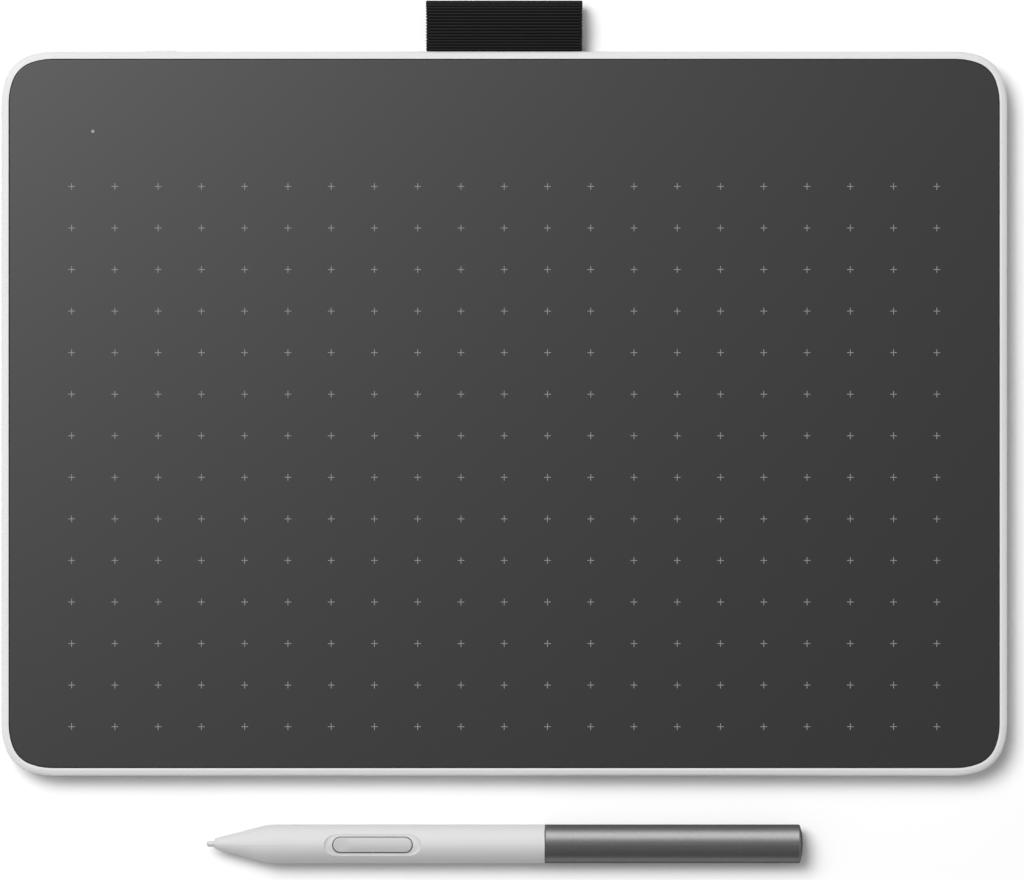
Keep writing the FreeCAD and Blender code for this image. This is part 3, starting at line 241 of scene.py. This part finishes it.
def bare_metal(name, colour, roughness, grain_mm=0.4):
    """Stamped or plated metal: full metal, with a faint rolled grain along X."""
    material, tree = new_material(name)
    place = add(tree, "ShaderNodeTexCoord").outputs["Object"]
    drawn = add(tree, "ShaderNodeMapping", {"Vector": place, "Scale": (0.12, 1.0, 1.0)})
    grain = add(tree, "ShaderNodeTexNoise", {"Vector": drawn.outputs[0], "Scale": per_metre(grain_mm),
                                             "Detail": 3.0})
    dull = add(tree, "ShaderNodeMapRange", {0: grain.outputs["Fac"], 1: 0.3, 2: 0.7, 3: roughness - 0.06,
                                            4: roughness + 0.08})
    bump = add(tree, "ShaderNodeBump", {"Height": grain.outputs["Fac"], "Strength": 0.3,
                                        "Distance": 0.01 * mm})
    shader = add(tree, "ShaderNodeBsdfPrincipled", {"Base Color": linear(colour), "Metallic": 1.0,
                                                    "Roughness": dull.outputs[0], "Normal": bump.outputs[0]})
    finish_surface(tree, shader)
    return material


def circuit_board():
    """Glass epoxy board with green solder mask: copper tracks show as paler lines beneath it."""
    material, tree = new_material("solder_masked_glass_epoxy")
    place = add(tree, "ShaderNodeTexCoord").outputs["Object"]
    tracks = add(tree, "ShaderNodeTexBrick", {"Vector": place, "Scale": per_metre(2.4), "Mortar Size": 0.06,
                                              "Color1": linear("#0b3a24"), "Color2": linear("#0d4028"),
                                              "Mortar": linear("#1f5f3c")}, offset=0.5)
    shader = add(tree, "ShaderNodeBsdfPrincipled", {"Base Color": tracks.outputs["Color"], "Roughness": 0.3,
                                                    "IOR": 1.5})
    finish_surface(tree, shader)
    return material


def moulded_rubber():
    """Moulded silicone rubber: dark grey, dull, with a little dust in its grain."""
    material, tree = new_material("moulded_silicone_rubber")
    place = add(tree, "ShaderNodeTexCoord").outputs["Object"]
    grain = add(tree, "ShaderNodeTexNoise", {"Vector": place, "Scale": per_metre(0.4), "Detail": 4.0})
    colours = add(tree, "ShaderNodeMix", {0: grain.outputs["Fac"], 6: linear("#1b1c1d"),
                                          7: linear("#343536")}, data_type="RGBA")
    bump = add(tree, "ShaderNodeBump", {"Height": grain.outputs["Fac"], "Strength": 0.5,
                                        "Distance": 0.02 * mm})
    shader = add(tree, "ShaderNodeBsdfPrincipled", {"Base Color": colours.outputs[2], "Roughness": 0.82,
                                                    "IOR": 1.42, "Normal": bump.outputs[0]})
    finish_surface(tree, shader)
    return material


def wound_copper():
    """Enamelled copper wire wound round the ferrite: fine bright orange turns side by side."""
    material, tree = new_material("enamelled_copper_wire")
    place = add(tree, "ShaderNodeTexCoord").outputs["Object"]
    # The real turns lie 0.15 mm apart. A wave texture turns by 20 radians in each unit of its scale, and
    # here by one radian in 0.3 mm, so they are drawn 1.9 mm apart.
    wave_radians = 20
    turns = add(tree, "ShaderNodeTexWave", {"Vector": place, "Scale": per_metre(0.3) / wave_radians,
                                            "Distortion": 0.0}, bands_direction="X")
    bump = add(tree, "ShaderNodeBump", {"Height": turns.outputs["Fac"], "Strength": 0.9,
                                        "Distance": 0.05 * mm})
    shader = add(tree, "ShaderNodeBsdfPrincipled", {"Base Color": linear("#b5653a"), "Metallic": 1.0,
                                                    "Roughness": 0.35, "Normal": bump.outputs[0]})
    finish_surface(tree, shader)
    return material


def print_ink():
    """Screen printed grey ink, flat and slightly uneven."""
    material, tree = new_material("screen_printed_ink")
    place = add(tree, "ShaderNodeTexCoord").outputs["Object"]
    patch = add(tree, "ShaderNodeTexNoise", {"Vector": place, "Scale": per_metre(0.4), "Detail": 2.0})
    colours = add(tree, "ShaderNodeMix", {0: patch.outputs["Fac"], 6: linear("#868686"),
                                          7: linear("#929292")}, data_type="RGBA")
    shader = add(tree, "ShaderNodeBsdfPrincipled", {"Base Color": colours.outputs[2], "Roughness": 0.5,
                                                    "IOR": 1.5})
    finish_surface(tree, shader)
    return material


def white_floor():
    """Matte pale grey paper that its own lamp makes white: it keeps the shadows, and far off it glows."""
    material, tree = new_material("white_paper_floor")
    rays = add(tree, "ShaderNodeLightPath")
    seen = add(tree, "ShaderNodeMath", {0: rays.outputs["Is Camera Ray"], 1: rays.outputs["Is Glossy Ray"]},
               operation="MAXIMUM")
    seen = add(tree, "ShaderNodeMath", {0: seen.outputs[0], 1: rays.outputs["Is Transmission Ray"]},
               operation="MAXIMUM")
    place = add(tree, "ShaderNodeTexCoord").outputs["Object"]
    far = add(tree, "ShaderNodeVectorMath", {0: place}, operation="LENGTH").outputs["Value"]
    level = add(tree, "ShaderNodeMapRange", {0: far, 1: glow_rises, 2: glow_full, 3: floor_glow, 4: 1.0})
    lift = add(tree, "ShaderNodeMath", {0: seen.outputs[0], 1: level.outputs[0]}, operation="MULTIPLY")
    paper = add(tree, "ShaderNodeBsdfDiffuse", {"Color": linear("#c9c9c9")})
    glow = add(tree, "ShaderNodeEmission", {"Color": linear("#ffffff"), "Strength": lift.outputs[0]})
    finish_surface(tree, add(tree, "ShaderNodeAddShader", {0: paper.outputs[0], 1: glow.outputs[0]}))
    return material


# Each CAD material slot with the real material that stands for it, and what that gives the eye
finishes = {
    # Bright even white with a fine spark grain and a soft highlight
    "white_case": moulded_plastic("white_moulded_abs", "#e6e6e6", 0.5),
    # Deep charcoal rim round the film, a little shinier at a low angle
    "plate_black": moulded_plastic("black_moulded_polycarbonate", "#1b1b1b", 0.5),
    # Dark, dry and slightly toothed, with a broad dim sheen
    "drawing_face": drawing_film(),
    # Green board with paler tracks under its glossy mask
    "board_green": circuit_board(),
    # Bright pressed can with a dull rolled grain
    "tinned_steel": bare_metal("tinned_steel", "#b9bcc0", 0.3),
    # Dark grey screw heads with a low gleam
    "screw_steel": bare_metal("black_passivated_steel", "#5f6062", 0.36),
    # Dull black blocks of the chips
    "package_black": moulded_plastic("epoxy_chip_package", "#17171a", 0.55),
    # Thin white film with a slight gloss
    "cable_film": moulded_plastic("white_polyester_film", "#dcdcd6", 0.35),
    # Cream sockets, matte and a little uneven
    "socket_cream": moulded_plastic("glass_filled_nylon_socket", "#d9cfb4", 0.5),
    # Bright warm grey shell of the inlet
    "inlet_steel": bare_metal("nickel_plated_steel", "#c3c2be", 0.24),
    # Black tongue, slightly glossy
    "inlet_black": moulded_plastic("liquid_crystal_polymer", "#131314", 0.45),
    # Thin gold contacts with a bright gleam
    "contact_gold": bare_metal("gold_plated_bronze", "#d9b25c", 0.25),
    # Small warm white dome, nearly glossy
    "led_white": moulded_plastic("led_silicone_dome", "#e8e3c9", 0.3),
    # Pale grey dot of the unlit status light
    "diffuser_white": moulded_plastic("diffusing_acrylic", "#a2a3a4", 0.25),
    # Silver foil with broad soft streaks
    "battery_foil": bare_metal("aluminium_pouch_laminate", "#b8bbc0", 0.38, grain_mm=2.5),
    # Dead flat black foam
    "tape_black": moulded_plastic("acrylic_foam_tape", "#222224", 0.85),
    # Soft red jackets with a waxy highlight
    "wire_red": moulded_plastic("pvc_wire_jacket", "#8f1d18", 0.45),
    # Black ribs with painted shade in the valleys and hardly any shine
    "ribbon_black": woven_ribbon(),
    # Plain grey rod, drawn along its length
    "bar_steel": bare_metal("cold_drawn_steel", "#9a9da1", 0.35),
    # Dark grey dull feet with a little dust
    "foot_rubber": moulded_rubber(),
    # Satin white of the pen, duller than the case
    "barrel_white": moulded_plastic("white_pen_barrel_abs", "#c9c9c9", 0.6, grain_mm=0.25),
    # Dark frame, matte from its glass filling
    "chassis_black": moulded_plastic("glass_filled_nylon_frame", "#1c1d1f", 0.5),
    # Dull grey ceramic rod
    "ferrite_grey": moulded_plastic("sintered_ferrite", "#3a3b3d", 0.6),
    # Orange winding, each turn catching the light
    "coil_copper": wound_copper(),
    # Off white housing, matte
    "sensor_white": moulded_plastic("sensor_housing_pbt", "#d5d5d0", 0.45),
    # Waxy mid grey, slippery to look at
    "holder_grey": moulded_plastic("acetal_holder", "#77797b", 0.4),
    # Waxy white tip, a touch darker than the barrel
    "nib_white": moulded_plastic("acetal_nib", "#c4c4c4", 0.45),
    # Slightly greyer white than the barrel, so that the key stands out from it
    "key_white": moulded_plastic("white_key_abs", "#bababa", 0.55, grain_mm=0.25),
    # Small bright snap domes
    "dome_steel": bare_metal("stainless_spring_steel", "#c8c9cb", 0.22),
    # Dark dull ring between the pen and its rear case
    "seal_rubber": moulded_rubber(),
    # Satin grey paint with one long highlight along the barrel
    "rear_grey": metallic_paint(),
}
for node in frame["nodes"].values():
    for slot in node.material_slots:
        slot.material = finishes[slot.material.name]


# Geometry Nodes


def new_tree(name, sizes):
    """Geometry tree with a curve or mesh input, the named sizes and a material."""
    tree = bpy.data.node_groups.new(name, "GeometryNodeTree")
    tree.interface.new_socket("Geometry", in_out="INPUT", socket_type="NodeSocketGeometry")
    for size_name, value in sizes.items():
        kind = "NodeSocketInt" if isinstance(value, int) else "NodeSocketFloat"
        tree.interface.new_socket(size_name, in_out="INPUT", socket_type=kind)
    tree.interface.new_socket("Material", in_out="INPUT", socket_type="NodeSocketMaterial")
    tree.interface.new_socket("Geometry", in_out="OUTPUT", socket_type="NodeSocketGeometry")
    return tree, add(tree, "NodeGroupInput")


def run_tree(name, data, tree, values):
    """Runs a tree on data and returns the result as a plain mesh object called name."""
    source = bpy.data.objects.new(name + "_source", data)
    scene.collection.objects.link(source)
    modifier = source.modifiers.new("shape", "NODES")
    modifier.node_group = tree
    for item in tree.interface.items_tree:
        if item.in_out == "INPUT" and item.name in values:
            modifier[item.identifier] = values[item.name]
    evaluated = source.evaluated_get(bpy.context.evaluated_depsgraph_get())
    mesh = bpy.data.meshes.new_from_object(evaluated)
    source.modifiers.remove(modifier)
    bpy.data.objects.remove(source)
    mesh.name = name
    piece = bpy.data.objects.new(name, mesh)
    scene.collection.objects.link(piece)
    return piece


def crosses_tree(sizes):
    """Printed crosses: one thin plus, set out on a grid of points.

    The plus starts as 3 x 3 unit cells. Their outer lines move out to the arms' ends, their inner
    lines to the stroke's edges, and the four corner cells are deleted.
    """
    tree, group = new_tree("printed_cross_grid", sizes)
    cells = 3
    between_lines = 1.0
    past_middle_cell = 0.75
    same_point = 1e-7
    size, stroke, ink = (group.outputs[name] for name in ("Cross Size", "Stroke", "Ink Thickness"))
    half = add(tree, "ShaderNodeMath", {0: size, 1: 0.5}, operation="MULTIPLY").outputs[0]
    half_stroke = add(tree, "ShaderNodeMath", {0: stroke, 1: 0.5}, operation="MULTIPLY").outputs[0]
    blank = add(tree, "GeometryNodeMeshGrid", {"Size X": cells, "Size Y": cells,
                                               "Vertices X": cells + 1, "Vertices Y": cells + 1})
    at = add(tree, "ShaderNodeSeparateXYZ", {0: add(tree, "GeometryNodeInputPosition").outputs[0]})
    placed = []
    for axis in ("X", "Y"):
        value = at.outputs[axis]
        side = add(tree, "ShaderNodeMath", {0: value}, operation="SIGN").outputs[0]
        reach = add(tree, "ShaderNodeMath", {0: value}, operation="ABSOLUTE").outputs[0]
        outer = add(tree, "ShaderNodeMath", {0: reach, 1: between_lines},
                    operation="GREATER_THAN").outputs[0]
        length = add(tree, "ShaderNodeMix", {0: outer, 2: half_stroke, 3: half}).outputs[0]
        placed.append(add(tree, "ShaderNodeMath", {0: side, 1: length}, operation="MULTIPLY").outputs[0])
    corner = add(tree, "ShaderNodeMath", {
        0: add(tree, "ShaderNodeMath", {0: at.outputs["X"]}, operation="ABSOLUTE").outputs[0],
        1: add(tree, "ShaderNodeMath", {0: at.outputs["Y"]}, operation="ABSOLUTE").outputs[0],
    }, operation="MINIMUM").outputs[0]
    is_corner = add(tree, "FunctionNodeCompare", {0: corner, 1: past_middle_cell},
                    operation="GREATER_THAN").outputs[0]
    plus = add(tree, "GeometryNodeDeleteGeometry", {"Geometry": blank.outputs[0], "Selection": is_corner},
               domain="FACE")
    spot = add(tree, "ShaderNodeCombineXYZ", {0: placed[0], 1: placed[1]})
    flat = add(tree, "GeometryNodeSetPosition", {"Geometry": plus.outputs[0], "Position": spot.outputs[0]})
    lift = add(tree, "ShaderNodeCombineXYZ", {2: ink})
    raised = add(tree, "GeometryNodeExtrudeMesh", {"Mesh": flat.outputs[0], "Offset": lift.outputs[0],
                                                   "Offset Scale": 1.0, "Individual": False})
    under = add(tree, "GeometryNodeFlipFaces", {"Mesh": flat.outputs[0]})
    joined = add(tree, "GeometryNodeJoinGeometry")
    tree.links.new(raised.outputs[0], joined.inputs[0])
    tree.links.new(under.outputs[0], joined.inputs[0])
    cross = add(tree, "GeometryNodeMergeByDistance", {"Geometry": joined.outputs[0], "Distance": same_point})
    spans = []
    for count, pitch in (("Columns", "Column Pitch"), ("Rows", "Row Pitch")):
        steps = add(tree, "ShaderNodeMath", {0: group.outputs[count], 1: 1.0},
                    operation="SUBTRACT").outputs[0]
        spans.append(add(tree, "ShaderNodeMath", {0: steps, 1: group.outputs[pitch]},
                         operation="MULTIPLY").outputs[0])
    grid = add(tree, "GeometryNodeMeshGrid", {"Size X": spans[0], "Size Y": spans[1],
                                              "Vertices X": group.outputs["Columns"],
                                              "Vertices Y": group.outputs["Rows"]})
    centre = add(tree, "ShaderNodeCombineXYZ", {0: group.outputs["Centre X"], 1: group.outputs["Centre Y"],
                                                2: group.outputs["Height"]})
    moved = add(tree, "GeometryNodeTransform", {"Geometry": grid.outputs[0],
                                                "Translation": centre.outputs[0]})
    copies = add(tree, "GeometryNodeInstanceOnPoints", {"Points": moved.outputs[0],
                                                        "Instance": cross.outputs[0]})
    real = add(tree, "GeometryNodeRealizeInstances", {"Geometry": copies.outputs[0]})
    inked = add(tree, "GeometryNodeSetMaterial", {"Geometry": real.outputs[0],
                                                  "Material": group.outputs["Material"]})
    add(tree, "NodeGroupOutput", {0: inked.outputs[0]})
    return tree


def ribbon_tree(sizes):
    """Grosgrain ribbon swept along the loop's path: its valleys are drawn in between whole weft ribs."""
    tree, group = new_tree("woven_ribs_along_loop", sizes)
    edge_facets = 3
    length = add(tree, "GeometryNodeSplineLength").outputs["Length"]
    ribs = add(tree, "ShaderNodeMath", {0: length, 1: group.outputs["Rib Pitch"]},
               operation="DIVIDE").outputs[0]
    ribs = add(tree, "ShaderNodeMath", {0: ribs}, operation="ROUND").outputs[0]
    count = add(tree, "ShaderNodeMath", {0: ribs, 1: group.outputs["Steps Per Rib"]},
                operation="MULTIPLY").outputs[0]
    path = add(tree, "GeometryNodeResampleCurve", {"Curve": group.outputs["Geometry"], "Count": count})
    share = add(tree, "GeometryNodeSplineParameter").outputs["Factor"]
    turn = add(tree, "ShaderNodeMath", {0: share, 1: ribs}, operation="MULTIPLY").outputs[0]
    turn = add(tree, "ShaderNodeMath", {0: turn, 1: math.pi}, operation="MULTIPLY").outputs[0]
    wave = add(tree, "ShaderNodeMath", {0: turn}, operation="SINE").outputs[0]
    wave = add(tree, "ShaderNodeMath", {0: wave, 1: 2.0}, operation="POWER").outputs[0]
    # The rib attribute sets the ridges' shape here and, in the material, the painted shade of the valleys.
    marked = add(tree, "GeometryNodeStoreNamedAttribute", {"Geometry": path.outputs[0], "Name": "rib",
                                                           "Value": wave}, data_type="FLOAT", domain="POINT")
    framed = add(tree, "GeometryNodeSetCurveNormal", {"Curve": marked.outputs[0], "Normal": (1.0, 0.0, 0.0)},
                 mode="FREE")
    section = add(tree, "GeometryNodeCurvePrimitiveQuadrilateral", {"Width": group.outputs["Width"],
                                                                    "Height": group.outputs["Thickness"]})
    rounded = add(tree, "GeometryNodeFilletCurve", {"Curve": section.outputs[0], "Count": edge_facets,
                                                    "Radius": group.outputs["Edge Radius"]}, mode="POLY")
    section_at = add(tree, "ShaderNodeSeparateXYZ", {0: add(tree, "GeometryNodeInputPosition").outputs[0]})
    labelled = add(tree, "GeometryNodeStoreNamedAttribute", {"Geometry": rounded.outputs[0], "Name": "across",
                                                             "Value": section_at.outputs[0]},
                   data_type="FLOAT", domain="POINT")
    swept = add(tree, "GeometryNodeCurveToMesh", {"Curve": framed.outputs[0],
                                                  "Profile Curve": labelled.outputs[0]})
    rib = add(tree, "GeometryNodeInputNamedAttribute", {"Name": "rib"}, data_type="FLOAT").outputs[0]
    valley = add(tree, "ShaderNodeMath", {0: 1.0, 1: rib}, operation="SUBTRACT").outputs[0]
    inward = add(tree, "ShaderNodeMath", {0: valley, 1: group.outputs["Rib Depth"]},
                 operation="MULTIPLY").outputs[0]
    inward = add(tree, "ShaderNodeMath", {0: inward, 1: -1.0}, operation="MULTIPLY").outputs[0]
    normal = add(tree, "GeometryNodeInputNormal").outputs[0]
    shift = add(tree, "ShaderNodeVectorMath", {0: normal, "Scale": inward}, operation="SCALE").outputs[0]
    ribbed = add(tree, "GeometryNodeSetPosition", {"Geometry": swept.outputs[0], "Offset": shift})
    smooth = add(tree, "GeometryNodeSetShadeSmooth", {"Geometry": ribbed.outputs[0], "Shade Smooth": True})
    real = add(tree, "GeometryNodeRealizeInstances", {"Geometry": smooth.outputs[0]})
    dyed = add(tree, "GeometryNodeSetMaterial", {"Geometry": real.outputs[0],
                                                 "Material": group.outputs["Material"]})
    add(tree, "NodeGroupOutput", {0: dyed.outputs[0]})
    return tree


# Ribbon loop


def loop_path():
    """Middle line of the ribbon as (distance out from the back face, height), once round the ring."""
    crown_drop = loop_crown_radius * (1 - math.cos(loop_tip_angle))
    tip_radius = (loop_half_height - crown_drop) / math.cos(loop_tip_angle)
    flat_end = (loop_reach - loop_crown_radius * math.sin(loop_tip_angle)
                - tip_radius * (1 - math.sin(loop_tip_angle)))
    both_radii = loop_mouth_radius + loop_rise_radius
    climb = loop_half_height - loop_wall_half_height
    slope = (climb - both_radii * (1 - math.cos(loop_rise_angle))) / math.sin(loop_rise_angle)
    run = both_radii * math.sin(loop_rise_angle) + slope * math.cos(loop_rise_angle)
    skin = ribbon_thickness / 2
    ring_end = -wall_thickness - 2 * bar_gap - bar_depth - ribbon_thickness + loop_wall_half_height
    quarter = math.pi / 2
    arcs = (
        ((0.0, loop_wall_half_height + loop_mouth_radius), loop_mouth_radius + skin, math.pi,
         math.pi - loop_rise_angle),
        ((run, loop_half_height - loop_rise_radius), loop_rise_radius - skin, -loop_rise_angle, 0.0),
        ((flat_end, loop_half_height - loop_crown_radius), loop_crown_radius - skin, 0.0, loop_tip_angle),
        ((loop_reach - tip_radius, 0.0), tip_radius - skin, loop_tip_angle, quarter),
    )
    upper = [(ring_end, loop_wall_half_height - skin)]
    for (out, height), radius, start, end in arcs:
        for step in range(arc_steps + 1):
            angle = start + (end - start) * step / arc_steps
            upper.append((out + radius * math.sin(angle), height + radius * math.cos(angle)))
    lower = [(out, -height) for out, height in upper[::-1]][1:]
    end_radius = loop_wall_half_height - skin
    back = [(ring_end - end_radius * math.sin(math.pi * step / arc_steps),
             -end_radius * math.cos(math.pi * step / arc_steps)) for step in range(1, arc_steps)]
    return upper + lower + back


def ribbon_loop():
    """The ribbon's closed ring as one ribbed piece, and the length once round it."""
    curve = bpy.data.curves.new("ribbon_path", "CURVE")
    curve.dimensions = "3D"
    points = loop_path()
    spline = curve.splines.new("POLY")
    spline.points.add(len(points) - 1)
    for point, (out, height) in zip(spline.points, points):
        point.co = (0.0, case_back_y + out, loop_mid_z + height, 1.0)
    spline.use_cyclic_u = True
    values = {
        "Rib Pitch": rib_pitch,
        "Rib Depth": rib_depth,
        "Steps Per Rib": rib_steps,
        "Width": ribbon_width,
        "Thickness": ribbon_thickness,
        "Edge Radius": ribbon_edge_radius,
    }
    piece = run_tree("ribbed_pen_loop", curve, ribbon_tree(values),
                     values | {"Material": finishes["ribbon_black"]})
    point_outwards(piece)
    length = sum(math.dist(points[index - 1], points[index]) for index in range(len(points)))
    return piece, length


def point_outwards(piece):
    """Turns a closed mesh's faces outwards."""
    work = bmesh.new()
    work.from_mesh(piece.data)
    bmesh.ops.recalc_face_normals(work, faces=work.faces)
    work.to_mesh(piece.data)
    work.free()


ribbon, ribbon_length = ribbon_loop()
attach(ribbon, "tablet")
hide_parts("pen_loop")


# Printed crosses

cross_values = {
    "Columns": cross_columns,
    "Rows": cross_rows,
    "Column Pitch": cross_column_pitch,
    "Row Pitch": cross_row_pitch,
    "Cross Size": cross_size,
    "Stroke": cross_stroke,
    "Ink Thickness": ink_thickness,
    "Centre X": cross_centre[0],
    "Centre Y": cross_centre[1],
    "Height": drawing_face_z,
}
crosses = run_tree("printed_crosses", bpy.data.meshes.new("cross_seed"), crosses_tree(cross_values),
                   cross_values | {"Material": print_ink()})
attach(crosses, "tablet")


# Floor, camera and light


def floor():
    """Wide paper floor, a hair below the feet so that no two faces share a plane."""
    mesh = bpy.data.meshes.new("floor")
    half = floor_half_width
    low = -floor_drop
    corners = [(-half, -half, low), (half, -half, low), (half, half, low), (-half, half, low)]
    mesh.from_pydata(corners, [], [(0, 1, 2, 3)])
    mesh.materials.append(white_floor())
    piece = bpy.data.objects.new("floor", mesh)
    scene.collection.objects.link(piece)
    return piece


def camera():
    """Long lens straight above the set, with the user's side at the bottom of the picture."""
    data = bpy.data.cameras.new("view")
    data.lens = view_lens
    data.sensor_width = view_sensor
    data.clip_start = view_nearest
    data.clip_end = view_farthest
    item = bpy.data.objects.new("view", data)
    item.location = (view_centre[0], view_centre[1], drawing_face_z + view_height)
    scene.collection.objects.link(item)
    scene.camera = item


def nodes_of(*bodies):
    """Every CAD node of the named bodies."""
    return [frame["nodes"][node] for body in bodies for node in frame["record"]["behaviour"]["bodies"][body]]


def link_list(name, pieces, state):
    """Collection of pieces that a light's linking takes in or leaves out."""
    group = bpy.data.collections.new(name)
    for piece in pieces:
        group.objects.link(piece)
    for entry in group.collection_objects:
        entry.light_linking.link_state = state
    return group


def softbox(name, place, size, power, only=(), but=()):
    """Rectangular area light, for the objects in only, or for all save those in but."""
    data = bpy.data.lights.new(name, "AREA")
    data.shape = "RECTANGLE"
    data.size, data.size_y = size
    data.energy = power
    item = bpy.data.objects.new(name, data)
    item.location = place
    item.rotation_euler = (Vector(lamps_aim) - Vector(place)).to_track_quat("-Z", "Y").to_euler()
    scene.collection.objects.link(item)
    if only:
        item.light_linking.receiver_collection = link_list(name + "_lights", only, "INCLUDE")
    if but:
        item.light_linking.receiver_collection = link_list(name + "_leaves_out", but, "EXCLUDE")


def surround(base, side):
    """Pale room: white to the camera, and to the set dim grey, brighter half way up on the left and right."""
    world = bpy.data.worlds.new("studio")
    world.use_nodes = True
    tree = world.node_tree
    tree.nodes.clear()
    ray = add(tree, "ShaderNodeTexCoord").outputs["Generated"]
    way = add(tree, "ShaderNodeSeparateXYZ", {0: ray}).outputs
    out = add(tree, "ShaderNodeMath", {0: way["X"]}, operation="ABSOLUTE").outputs[0]
    up = add(tree, "ShaderNodeMath", {0: way["Z"], 1: 0.0}, operation="MAXIMUM").outputs[0]
    both = add(tree, "ShaderNodeMath", {0: out, 1: up}, operation="MULTIPLY").outputs[0]
    grey = add(tree, "ShaderNodeMath", {0: both, 1: side, 2: base}, operation="MULTIPLY_ADD").outputs[0]
    seen = add(tree, "ShaderNodeLightPath").outputs["Is Camera Ray"]
    level = add(tree, "ShaderNodeMath", {0: seen, 1: grey}, operation="MAXIMUM").outputs[0]
    back = add(tree, "ShaderNodeBackground", {"Color": (1.0, 1.0, 1.0, 1.0), "Strength": level})
    add(tree, "ShaderNodeOutputWorld", {0: back.outputs[0]})
    scene.world = world


# The ground, the pen's front and its metallic rear case each look as if shot under light of their own.
# So the key lamp stands at the back left for all but the rear case, a second lamp in the same place
# makes the paper white round the key lamp's shadows, and two low lamps at the back draw the long
# highlights along the pen.
paper = floor()
camera()
rear_half = nodes_of("rear_case")
front_half = nodes_of("pen", "side_switch", "nib_holder", "nib")
softbox("key_softbox", key_place, key_size, key_power, but=rear_half)
softbox("paper_softbox", key_place, paper_lamp_size, paper_lamp_power, only=[paper])
softbox("barrel_strip", barrel_strip_place, barrel_strip_size, barrel_strip_power, only=front_half)
softbox("rear_case_panel", rear_panel_place, rear_panel_size, rear_panel_power, only=rear_half)
surround(room_base, room_sides)
scene.view_settings.view_transform = "Standard"
